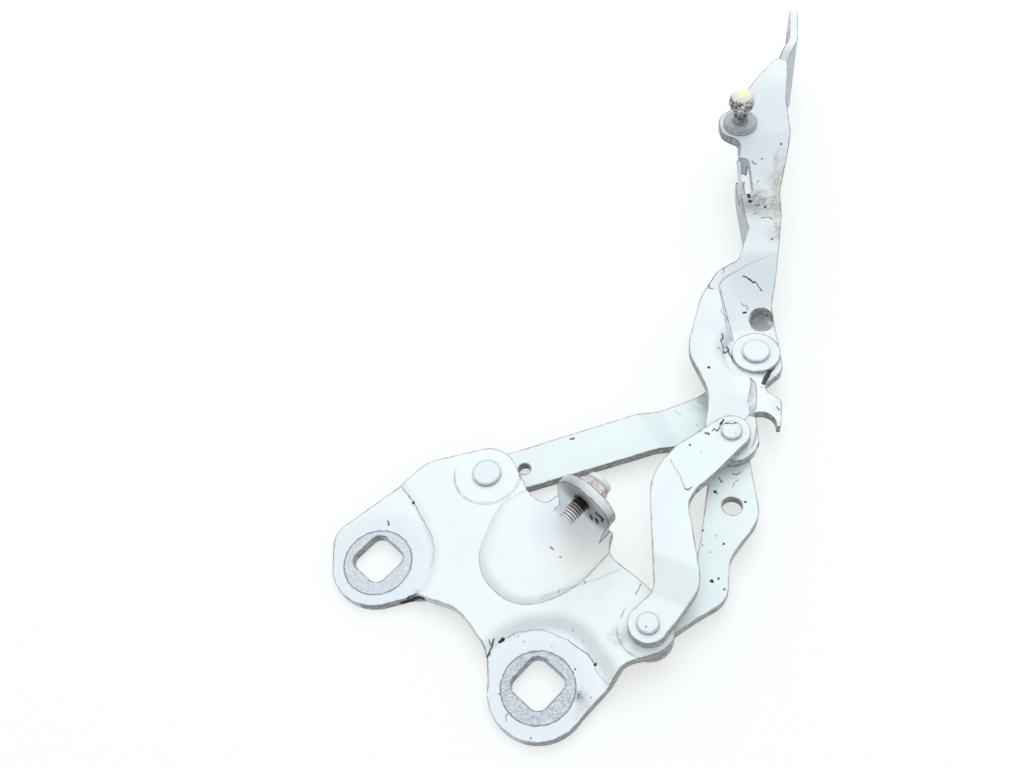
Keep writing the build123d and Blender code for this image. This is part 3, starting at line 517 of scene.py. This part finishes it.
def add_camera():
    bpy.ops.object.camera_add()
    camera = bpy.context.object
    camera.name = "camera"
    turn = Matrix((CAMERA_RIGHT, CAMERA_UP, CAMERA_BACK)).transposed().to_4x4()
    camera.matrix_world = Matrix.Translation(CAMERA_PLACE) @ turn
    camera.data.sensor_fit = "HORIZONTAL"
    camera.data.sensor_width = SENSOR_WIDTH
    camera.data.lens = LENS
    camera.data.clip_start = 0.01
    scene.camera = camera


def white_backdrop_material():
    """White where the camera or a glossy surface sees it, grey to the light that bounces off it."""
    material, g, shader = new_material("white_floor")
    rays = g.add("ShaderNodeLightPath")
    seen = g.math("MAXIMUM", rays.outputs["Is Camera Ray"], rays.outputs["Is Glossy Ray"])
    seen = g.math("MAXIMUM", seen, rays.outputs["Is Transmission Ray"])
    g.join(g.blend(seen, FLOOR_UNSEEN, FLOOR_SEEN), shader.inputs["Base Color"])
    shader.inputs["Emission Color"].default_value = WHITE
    g.join(g.math("MULTIPLY", seen, FLOOR_GLOW), shader.inputs["Emission Strength"])
    shader.inputs["Roughness"].default_value = 0.8
    shader.inputs["Specular IOR Level"].default_value = 0.0
    return material


def add_floor():
    bpy.ops.mesh.primitive_plane_add(size=FLOOR_SIZE)
    floor = bpy.context.object
    floor.name = "floor"
    turn = Vector((0, 0, 1)).rotation_difference(FLOOR_NORMAL).to_matrix().to_4x4()
    floor.matrix_world = Matrix.Translation(FLOOR_PLACE) @ turn
    floor.data.materials.append(white_backdrop_material())


def add_area_light(name, place, power):
    bpy.ops.object.light_add(type="AREA", location=place)
    light = bpy.context.object
    light.name = name
    light.data.shape = "DISK"
    light.data.size = LIGHT_SIZE
    light.data.energy = power
    light.rotation_euler = (LIGHT_TARGET - Vector(place)).to_track_quat("-Z", "Y").to_euler()


def add_light():
    world = bpy.data.worlds.new("studio")
    scene.world = world
    world.use_nodes = True
    sky = world.node_tree.nodes["Background"]
    sky.inputs["Color"].default_value = WHITE
    g = Graph(world.node_tree)
    seen = g.add("ShaderNodeLightPath").outputs["Is Camera Ray"]
    g.join(g.math("ADD", SKY_UNSEEN, g.math("MULTIPLY", seen, SKY_SEEN_EXTRA)), sky.inputs["Strength"])
    add_area_light("behind", (0.25, 1.1, 1.3), 7.5)
    add_area_light("overhead", (0.05, 0.2, 1.5), 5.0)


# Shared groups

def make_outline_group():
    """Thin dark lines along sharp edges and corners, broken up by noise: dirt on the edges, and painted shade
    in the creases.
    """
    tree, g, inside, out = new_group(
        "edge_dirt_and_crease_shade",
        [("Width", "NodeSocketFloat", 0.0004), ("Amount", "NodeSocketFloat", 1.0)],
        [("Mask", "NodeSocketFloat")],
    )
    coordinates = g.coordinates()
    uneven = g.ramp(g.noise(coordinates, BLOTCHES, 4.0, 0.7), 0.30, 0.68)
    width = g.math("MULTIPLY", inside["Width"], g.math("ADD", 0.45, uneven))
    bevel = g.add("ShaderNodeBevel", samples=6)
    g.join(width, bevel.inputs["Radius"])
    geometry = g.add("ShaderNodeNewGeometry")
    likeness = g.measure("DOT_PRODUCT", bevel.outputs["Normal"], geometry.outputs["Normal"])
    bend = g.ramp(g.opposite(likeness), 0.015, 0.10)
    patches = g.ramp(g.noise(coordinates, PATCHES, 3.0, 0.6), 0.38, 0.58)
    patchy = g.math("ADD", 0.7, g.math("MULTIPLY", patches, 0.3))
    g.join(g.math("MULTIPLY", g.math("MULTIPLY", bend, patchy), inside["Amount"], True), out["Mask"])
    return tree


def make_mark_group():
    """A short straight piece of a crack or scratch: from one place along a line, in millimetres."""
    tree, g, inside, out = new_group(
        "paint_mark",
        [
            ("Point", "NodeSocketVector", None),
            ("From", "NodeSocketVector", None),
            ("Along", "NodeSocketVector", None),
            ("Share", "NodeSocketVector", None),
            ("Half Width", "NodeSocketFloat", 0.2),
            ("Darkness", "NodeSocketFloat", 1.0),
        ],
        [("Mask", "NodeSocketFloat")],
    )
    away = g.vector("SUBTRACT", inside["Point"], inside["From"])
    share = g.measure("DOT_PRODUCT", away, inside["Share"])
    kept = g.math("MINIMUM", g.math("MAXIMUM", share, 0.0), 1.0)
    reached = g.add("ShaderNodeVectorMath", operation="SCALE")
    g.join(inside["Along"], reached.inputs["Vector"])
    g.join(kept, reached.inputs["Scale"])
    gap = g.measure("DISTANCE", away, reached.outputs["Vector"])
    full = g.math("MULTIPLY", inside["Half Width"], 0.9)
    gone = g.math("MULTIPLY", inside["Half Width"], 1.8)
    near = g.opposite(g.ramp(gap, full, gone))
    g.join(g.math("MULTIPLY", near, inside["Darkness"]), out["Mask"])
    return tree


def make_specks_group():
    """Fine dark pores and chips scattered over the paint."""
    tree, g, inside, out = new_group(
        "chips_and_pores",
        [("Amount", "NodeSocketFloat", 0.5)],
        [("Mask", "NodeSocketFloat")],
    )
    coordinates = g.coordinates()
    distance, number = g.cells(coordinates, BLOTCHES)
    chosen = g.ramp(number, 0.975, 0.98)
    wobble = g.noise(coordinates, FINEST_GRAIN, 2.0)
    distance = g.math("ADD", distance, g.math("MULTIPLY", wobble, 0.12))
    dot = g.opposite(g.ramp(distance, 0.10, 0.17))
    g.join(g.math("MULTIPLY", g.math("MULTIPLY", dot, chosen), inside["Amount"], True), out["Mask"])
    return tree


def make_spot_group():
    """A round mask about a place, in millimetres, and the distance from the place."""
    tree, g, inside, out = new_group(
        "round_spot",
        [
            ("Point", "NodeSocketVector", None),
            ("Middle", "NodeSocketVector", None),
            ("Radius", "NodeSocketFloat", 10.0),
            ("Softness", "NodeSocketFloat", 1.0),
        ],
        [("Mask", "NodeSocketFloat"), ("Distance", "NodeSocketFloat")],
    )
    gap = g.measure("DISTANCE", inside["Point"], inside["Middle"])
    start = g.math("SUBTRACT", inside["Radius"], inside["Softness"])
    end = g.math("ADD", inside["Radius"], inside["Softness"])
    g.join(g.opposite(g.ramp(gap, start, end)), out["Mask"])
    g.join(gap, out["Distance"])
    return tree


def make_mottle_group():
    """Crystalline grey mottling of bare zinc, with dark veins."""
    tree, g, inside, out = new_group(
        "zinc_mottle",
        [("Scale", "NodeSocketFloat", 1000.0)],
        [("Color", "NodeSocketColor")],
    )
    coordinates = g.coordinates()
    number = g.cells(coordinates, inside["Scale"])[1]
    grain = g.noise(coordinates, FINEST_GRAIN, 4.0, 0.65)
    mix = g.math("ADD", g.math("MULTIPLY", number, 0.25), g.math("MULTIPLY", grain, 0.75))
    color = g.blend(g.ramp(mix, 0.32, 0.60), ZINC_DARK, ZINC_PALE)
    veins = g.ramp(g.from_middle(g.noise(coordinates, SMEARS, 5.0, 0.7)), 0.0, 0.012)
    g.join(g.blend(veins, ZINC_VEIN, color), out["Color"])
    return tree


OUTLINE = make_outline_group()
MARK = make_mark_group()
SPECKS = make_specks_group()
SPOT = make_spot_group()
MOTTLE = make_mottle_group()


def edge_mask(g, width, amount):
    """Dirt along a piece's edges and painted shade in its creases, with its width in metres."""
    return g.group(OUTLINE, Width=width, Amount=amount).outputs["Mask"]


# Painted sheet

def millimetre_point(g, wander, heights):
    """Object coordinates in millimetres, with heights counted at a share, and a little wander."""
    coordinates = g.coordinates()
    scaled = g.vector("MULTIPLY", coordinates, (MM_PER_METRE, MM_PER_METRE, MM_PER_METRE * heights))
    if not wander:
        return scaled
    noise = g.noise(coordinates, WANDER, 3.0, 0.5, output="Color")
    spread = Vector((wander, wander, wander * heights))
    return g.vector("ADD", scaled, g.vector("MULTIPLY_ADD", noise, spread, -spread / 2))


def line_mask(g, point, start, end, half_width, darkness):
    """A mask of a straight line between two places, or of a dot where they are the same."""
    along = Vector(end) - Vector(start)
    share = along / along.length_squared if along.length else along
    line = g.group(
        MARK, Point=point, From=start, Along=along, Share=share, Half_Width=half_width, Darkness=darkness
    )
    return line.outputs["Mask"]


def mark_mask(g, marks):
    """All of the cracks, chips and scratches of one sheet."""
    point = millimetre_point(g, MARK_WANDER, MARK_HEIGHTS)
    total = None
    for half_width, darkness, *places in marks:
        places = [Vector((x, y, z * MARK_HEIGHTS)) for x, y, z in places]
        for start, end in zip(places, places[1:] or places):
            total = g.either(total, line_mask(g, point, start, end, half_width, darkness))
    return total


def tinted(g, coordinates, point, paint, tints, bands):
    """Paint with tinted patches and broken bands, which hold painted shade and painted light where they are
    given.
    """
    for x, y, z, radius, softness, tint in tints:
        spot = g.group(SPOT, Point=point, Middle=(x, y, z), Radius=radius, Softness=softness)
        paint = g.blend(spot.outputs["Mask"], paint, tint)
    for half_width, strength, tint, start, end in bands:
        band = line_mask(g, point, start, end, half_width, strength)
        broken = g.ramp(g.noise(coordinates, BLOTCHES, 5.0, 0.75), 0.30, 0.62)
        paint = g.blend(g.math("MULTIPLY", band, broken), paint, tint)
    return paint


def washer_printed(g, point, color, prints):
    """Paint with a round of bare zinc and a dark rim for each washer, and the mask of what is bare."""
    bare = None
    for x, y, worn in prints:
        spot = g.group(SPOT, Point=point, Middle=(x, y, 0), Radius=PRINT_RADIUS, Softness=PRINT_SOFTNESS)
        from_rim = g.math("ABSOLUTE", g.math("SUBTRACT", spot.outputs["Distance"], PRINT_RADIUS))
        rim = g.opposite(g.ramp(from_rim, *PRINT_RIM))
        zinc = g.group(MOTTLE, Scale=PRINT_CRYSTALS)
        color = g.blend(g.math("MULTIPLY", spot.outputs["Mask"], worn), color, zinc.outputs["Color"])
        color = g.blend(g.math("MULTIPLY", rim, 0.85), color, PRINT_RIM_GREY)
        bare = g.either(bare, spot.outputs["Mask"])
    return color, bare


def grimed_and_shaded(g, coordinates, color, grime_and_shade):
    """A colour with smears of grime over it, and smears of painted shade where they are given."""
    point = millimetre_point(g, PATCH_WANDER, GRIME_AND_SHADE_HEIGHTS)
    for x, y, z, radius, strength, tint in grime_and_shade:
        middle = (x, y, z * GRIME_AND_SHADE_HEIGHTS)
        spot = g.group(SPOT, Point=point, Middle=middle, Radius=radius * 0.6, Softness=radius * 0.6)
        smear = g.ramp(g.noise(coordinates, SMEARS, 5.0, 0.8), 0.38, 0.60)
        strong = g.math("MULTIPLY", g.math("ADD", smear, 0.25), strength)
        color = g.blend(g.math("MULTIPLY", spot.outputs["Mask"], strong, True), color, tint)
    return color


def cut_face_mask(g, normal, point, skip, painted, folds):
    """Upright faces, which are the sheet's cut edges, but for those that are folded or pressed and painted."""
    sides = g.opposite(g.ramp(g.math("ABSOLUTE", g.upward(normal)), *UPRIGHT))
    if skip is not None:
        square = g.math("ABSOLUTE", g.measure("DOT_PRODUCT", normal, skip))
        sides = g.math("MULTIPLY", sides, g.opposite(g.ramp(square, *SQUARE_TO_TAB_OR_FLANGE)))
    for x, y, z, radius in painted:
        spot = g.group(SPOT, Point=point, Middle=(x, y, z), Radius=radius, Softness=1.0)
        sides = g.math("MULTIPLY", sides, g.opposite(spot.outputs["Mask"]))
    level_point = millimetre_point(g, 0.0, NO_HEIGHTS)
    for fold in folds:
        for start, end in zip(fold, fold[1:]):
            band = line_mask(g, level_point, (*start, 0), (*end, 0), FOLD_HALF_WIDTH, 1.0)
            sides = g.math("MULTIPLY", sides, g.opposite(band))
    return sides


def painted_sheet(
    name,
    light=LIGHT_PAINT,
    shade=DARK_PAINT,
    marks=(),
    prints=(),
    tints=(),
    bands=(),
    grime_and_shade=(),
    skip=None,
    painted=(),
    folds=(),
    outline=0.95,
):
    """Silver-white paint with dirty cut edges, cracks, chips and pores, and bare prints where washers sat,
    with patches, bands and smears of grime and of painted shade and light.
    """
    material, g, shader = new_material(name)
    coordinates = g.coordinates()
    rough_point = millimetre_point(g, PATCH_WANDER, NO_HEIGHTS)
    normal = g.add("ShaderNodeNewGeometry").outputs["Normal"]
    cloud = g.ramp(g.noise(coordinates, CLOUDS, 5.0, 0.6), 0.35, 0.72)
    color = g.blend(cloud, light, shade)
    point = millimetre_point(g, 0.0, TRUE_HEIGHTS)
    color = tinted(g, coordinates, point, color, tints, bands)
    color, bare = washer_printed(g, rough_point, color, prints)
    color = grimed_and_shaded(g, coordinates, color, grime_and_shade)
    streaks = g.ramp(g.noise(coordinates, STREAKS, 6.0, 0.75), 0.36, 0.64)
    dirt = g.blend(streaks, CUT_DARK, CUT_PALE)
    sides = cut_face_mask(g, normal, point, skip, painted, folds)
    color = g.blend(g.math("MULTIPLY", sides, CUT_DIRT), color, dirt)
    color = g.blend(edge_mask(g, 0.95 * MM, outline), color, EDGE_BLACK)
    dark = g.group(SPECKS, Amount=0.5).outputs["Mask"]
    if marks:
        dark = g.either(dark, mark_mask(g, marks))
    g.join(g.blend(dark, color, CRACK_BLACK), shader.inputs["Base Color"])
    g.roughen(shader, dark, 0.42, 0.3)
    if bare is not None:
        g.join(g.math("MULTIPLY", bare, 0.25), shader.inputs["Metallic"])
    shader.inputs["Specular IOR Level"].default_value = 0.35
    g.dent(shader, g.noise(coordinates, ORANGE_PEEL), 0.12, 0.4 * MM)
    return material


# Metal

def bare_metal(name, light, dark, metallic=0.9, roughness=0.38, outline=0.8, width=0.35 * MM):
    """Dull metal with grain, dirt along its edges and painted shade in its creases."""
    material, g, shader = new_material(name)
    grain = g.ramp(g.noise(g.coordinates(), METAL_GRAIN, 5.0, 0.7), 0.3, 0.7)
    color = g.blend(grain, light, dark)
    g.join(g.blend(edge_mask(g, width, outline), color, METAL_EDGE), shader.inputs["Base Color"])
    shader.inputs["Metallic"].default_value = metallic
    g.roughen(shader, grain, roughness, 0.15)
    g.dent(shader, grain, 0.15, 0.3 * MM)
    return material


def bolt_place(out):
    """A point on the stop bolt's axis, at a distance out from the front ear's bolt, in millimetres."""
    return TAB_OUTWARDS * out + TAB_ACROSS * BOLT_ALONG + Vector((0, 0, BOLT_HEIGHT))


def banded_bolt():
    """Threads that are pale at the tip, brown in the middle and black where they enter the tab, with painted
    shade in their grooves.
    """
    material, g, shader = new_material("bolt_steel")
    coordinates = g.coordinates()
    out = g.measure("DOT_PRODUCT", coordinates, TAB_OUTWARDS * MM_PER_METRE)
    length = g.math("ADD", out, g.math("MULTIPLY", g.noise(coordinates, BOLT_SMEARS), 1.6))
    from_axis = g.vector("SUBTRACT", coordinates, bolt_place(0.0) * MM)
    radius = g.measure("LENGTH", g.vector("CROSS_PRODUCT", from_axis, TAB_OUTWARDS * MM_PER_METRE))
    tip = g.opposite(g.ramp(out, BOLT_TIP + 0.25, BOLT_TIP + 0.5))
    # The grooves between the thread's crests get painted shade
    crest = g.math("MAXIMUM", tip, g.ramp(radius, *THREAD_FLANK))
    grain = g.ramp(g.noise(coordinates, FINE_GRAIN, 4.0, 0.7), 0.3, 0.7)
    pale = g.blend(grain, THREAD_BRIGHT, THREAD_PALE)
    pale = g.blend(crest, THREAD_GROOVE_SHADE, pale)
    brown = g.blend(crest, THREAD_BROWN_GROOVE_SHADE, THREAD_BROWN)
    color = g.blend(g.ramp(length, *BOLT_TURNS_BROWN), pale, brown)
    past = g.ramp(length, *BOLT_BLACK_STARTS)
    root = g.math("MULTIPLY", past, g.opposite(g.ramp(length, *BOLT_BLACK_ENDS)))
    color = g.blend(root, color, THREAD_ROOT_BLACK)
    head = g.ramp(length, HEAD_START, HEAD_START + 0.4)
    color = g.blend(head, color, g.blend(grain, HEAD_PALE, HEAD_GREY))
    edges = g.math("MULTIPLY", edge_mask(g, 0.3 * MM, 0.5), head)
    g.join(g.blend(edges, color, HEAD_EDGE), shader.inputs["Base Color"])
    shader.inputs["Metallic"].default_value = 0.1
    g.roughen(shader, grain, 0.40, 0.15)
    g.dent(shader, grain, 0.2, 0.2 * MM)
    return material


def greasy_ball():
    """A cream ball with a yellow cap, squiggles of dark grease on it and its neck, and a grey flange."""
    material, g, shader = new_material("greasy_ball")
    coordinates = g.coordinates()
    height = g.math("MULTIPLY", g.upward(coordinates), MM_PER_METRE)
    grain = g.ramp(g.noise(coordinates, FINE_GRAIN, 5.0, 0.75), 0.32, 0.68)
    cream = g.blend(grain, BALL_WHITE, BALL_CREAM)
    cream = g.blend(g.ramp(height, *BALL_YELLOW_STARTS), cream, BALL_YELLOW)
    steel = g.blend(grain, STUD_FLANGE_PALE, STUD_FLANGE_GREY)
    color = g.blend(g.ramp(height, *STUD_FLANGE_ENDS), steel, cream)
    squiggles = g.opposite(g.ramp(g.from_middle(g.noise(coordinates, SQUIGGLES, 4.0, 0.75, 0.6)), 0.015, 0.05))
    patches = g.ramp(g.noise(coordinates, SMEARS, 4.0, 0.75), 0.53, 0.58)
    grease = g.math("MULTIPLY", g.either(squiggles, patches), g.ramp(height, *STUD_GREASE_STARTS))
    grease = g.math("MULTIPLY", grease, g.opposite(g.ramp(height, *STUD_GREASE_ENDS)))
    color = g.blend(grease, color, STUD_GREASE)
    g.join(g.blend(edge_mask(g, 0.9 * MM, 1.0), color, STUD_EDGE), shader.inputs["Base Color"])
    g.roughen(shader, grain, 0.30, 0.2)
    g.dent(shader, g.math("ADD", grain, grease), 0.3, 0.3 * MM)
    return material


# Each node of the CAD gets its material

def dress(node, material):
    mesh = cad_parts[node].data
    mesh.materials.clear()
    mesh.materials.append(material)


def dress_all():
    bracket = painted_sheet(
        "bracket_paint",
        marks=BRACKET_MARKS,
        prints=((*FRONT_EAR, 1.0), (*REAR_EAR, 0.62)),
        tints=BRACKET_TINTS_LIGHT_AND_SHADE,
        grime_and_shade=BRACKET_GRIME_AND_SHADE,
        skip=TAB_OUTWARDS,
        painted=BRACKET_PAINTED,
    )
    links = painted_sheet(
        "link_paint",
        light=(0.84, 0.95, 0.965, 1),
        shade=(0.80, 0.90, 0.93, 1),
        marks=LINK_MARKS,
        grime_and_shade=LINK_PAINTED_SHADE,
    )
    arm = painted_sheet(
        "arm_paint",
        light=(0.84, 0.93, 0.95, 1),
        shade=(0.77, 0.86, 0.90, 1),
        marks=ARM_MARKS,
        tints=ARM_PAINTED_LIGHT_AND_SHADE,
        bands=ARM_SHADE_AND_GRIME_BANDS,
        grime_and_shade=ARM_GRIME_AND_SHADE,
        skip=ARM_FLANGE_OUTWARDS,
        painted=ARM_PAINTED,
        folds=ARM_FOLDS,
    )
    rivets = painted_sheet(
        "rivet_paint",
        light=(0.82, 0.91, 0.95, 1),
        shade=(0.78, 0.87, 0.92, 1),
        marks=RIVET_MARKS,
        outline=0.9,
    )
    zinc = bare_metal("zinc_washer", (0.60, 0.63, 0.66, 1), (0.42, 0.44, 0.47, 1))
    bronze = bare_metal("bearing_bronze", (0.50, 0.38, 0.22, 1), (0.34, 0.25, 0.14, 1))
    dress("fender_bracket", bracket)
    for node in ("front_link_upper", "front_link_lower", "rear_link"):
        dress(node, links)
    dress("bonnet_arm", arm)
    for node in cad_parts:
        if node.endswith("rivet") or node == "arm_disc":
            dress(node, rivets)
        elif node.endswith("washer"):
            dress(node, zinc)
        elif node.endswith("bush"):
            dress(node, bronze)
    dress("ball_stud", greasy_ball())


# Turned pieces

def edit(mode):
    bpy.ops.object.mode_set(mode=mode)


def pick(piece):
    """Makes a piece the selected and active one."""
    bpy.ops.object.select_all(action="DESELECT")
    piece.select_set(True)
    bpy.context.view_layer.objects.active = piece


def turned(name, profile, sides=64):
    """Turns a profile of heights and radii, in millimetres, about the Z axis, closed at both ends."""
    bpy.ops.object.select_all(action="DESELECT")
    height, radius = profile[0]
    bpy.ops.mesh.primitive_circle_add(
        vertices=sides, radius=radius * MM, fill_type="NGON", location=(0, 0, height * MM)
    )
    piece = bpy.context.object
    piece.name = name
    bpy.ops.object.transform_apply()
    edit("EDIT")
    bpy.ops.mesh.select_all(action="SELECT")
    for (low, narrow), (high, wide) in zip(profile, profile[1:]):
        bpy.ops.mesh.extrude_region_move(TRANSFORM_OT_translate={"value": (0, 0, (high - low) * MM)})
        share = wide / narrow
        bpy.ops.transform.resize(value=(share, share, 1), center_override=(0, 0, 0))
    bpy.ops.mesh.select_all(action="SELECT")
    bpy.ops.mesh.normals_make_consistent(inside=False)
    edit("OBJECT")
    return piece


def lay(piece, place, across, side, along):
    """Puts a piece at a place in millimetres, with its own X, Y and Z turned to three directions."""
    turn = Matrix((across, side, along)).transposed().to_4x4()
    piece.matrix_world = Matrix.Translation(place * MM) @ turn
    pick(piece)
    bpy.ops.object.transform_apply()
    bpy.ops.object.shade_smooth_by_angle(angle=SMOOTH_ANGLE)


def combine(piece, tool, operation):
    """Joins a tool to a piece by a Boolean and removes the tool."""
    pick(piece)
    modifier = piece.modifiers.new("shape", "BOOLEAN")
    modifier.object = tool
    modifier.operation = operation
    modifier.solver = "EXACT"
    bpy.ops.object.modifier_apply(modifier="shape")
    bpy.data.objects.remove(tool)


def add_stop_bolt():
    profile = [(0.0, 1.6), (TIP_CHAMFER, 2.1)]
    for number in range(THREAD_TURNS):
        low = TIP_CHAMFER + number * THREAD_PITCH
        profile += [
            (low + 0.30, THREAD_CREST),
            (low + 0.50, THREAD_CREST),
            (low + 0.85, THREAD_ROOT),
            (low + THREAD_PITCH, THREAD_ROOT),
        ]
    shank_start = TIP_CHAMFER + THREAD_TURNS * THREAD_PITCH + 0.3
    shank_end = HEAD_START - BOLT_TIP
    head_end = HEAD_END - BOLT_TIP
    profile += [
        (shank_start, SHANK_RADIUS),
        (shank_end, SHANK_RADIUS),
        (shank_end + 0.01, 3.9),
        (shank_end + 0.3, 4.2),
        (head_end - 0.7, 4.15),
        (head_end - 0.3, 3.85),
        (head_end - 0.08, 3.3),
        (head_end, 2.5),
    ]
    bolt = turned("stop_bolt_threaded", profile)
    lay(bolt, bolt_place(BOLT_TIP), DOWN, TAB_ACROSS, TAB_OUTWARDS)
    bolt.data.materials.append(banded_bolt())
    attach(bolt, "bracket")
    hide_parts("stop_bolt")


def add_stop_nut():
    height = HEAD_START - NUT_START
    corner = NUT_HALF_FLATS / math.cos(HALF_FACET)
    bpy.ops.object.select_all(action="DESELECT")
    bpy.ops.mesh.primitive_cylinder_add(
        vertices=6, radius=corner * MM, depth=height * MM, location=(0, 0, height / 2 * MM)
    )
    nut = bpy.context.object
    nut.name = "stop_nut_hexagon"
    bpy.ops.object.transform_apply()
    bpy.ops.transform.rotate(value=HALF_FACET, orient_axis="Z", center_override=(0, 0, 0))
    bpy.ops.object.transform_apply()
    chamfers = [
        (-0.1, 3.8),
        (NUT_CHAMFER, corner + 0.1),
        (height - NUT_CHAMFER, corner + 0.1),
        (height + 0.1, 3.8),
    ]
    combine(nut, turned("chamfers", chamfers), "INTERSECT")
    combine(nut, turned("bore", [(-1.0, NUT_BORE_RADIUS), (height + 1.0, NUT_BORE_RADIUS)]), "DIFFERENCE")
    lay(nut, bolt_place(NUT_START), DOWN, TAB_ACROSS, TAB_OUTWARDS)
    zinc = bare_metal(
        "nut_zinc",
        (0.92, 0.88, 0.86, 1),
        (0.62, 0.56, 0.52, 1),
        metallic=0.1,
        roughness=0.45,
        outline=1.0,
        width=1.1 * MM,
    )
    nut.data.materials.append(zinc)
    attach(nut, "bracket")
    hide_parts("stop_nut")


def add_relief_strip():
    """The narrow strip of the folded sheet that closes the relief cut on its outer side."""
    length = (STRIP_END - STRIP_START).length
    profile = [
        (0.0, 0.95),
        (1.2, 0.85),
        (5.0, 0.70),
        (length * 0.6, 0.70),
        (length - 3.0, 0.85),
        (length - 0.6, 0.6),
        (length, 0.2),
    ]
    strip = turned("relief_strip", profile, 24)
    edit("EDIT")
    bpy.ops.mesh.select_all(action="SELECT")
    bpy.ops.transform.resize(value=(STRIP_WIDENING, 1, 1), center_override=(0, 0, 0))
    edit("OBJECT")
    along = (STRIP_END - STRIP_START).normalized()
    side = Vector((0, 0, 1)).cross(along).normalized()
    lay(strip, STRIP_START, side.cross(along), side, along)
    strip.data.materials.append(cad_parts["bonnet_arm"].data.materials[0])
    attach(strip, "arm")


add_camera()
add_floor()
add_light()
dress_all()
add_stop_bolt()
add_stop_nut()
add_relief_strip()

scene.view_settings.view_transform = "Standard"
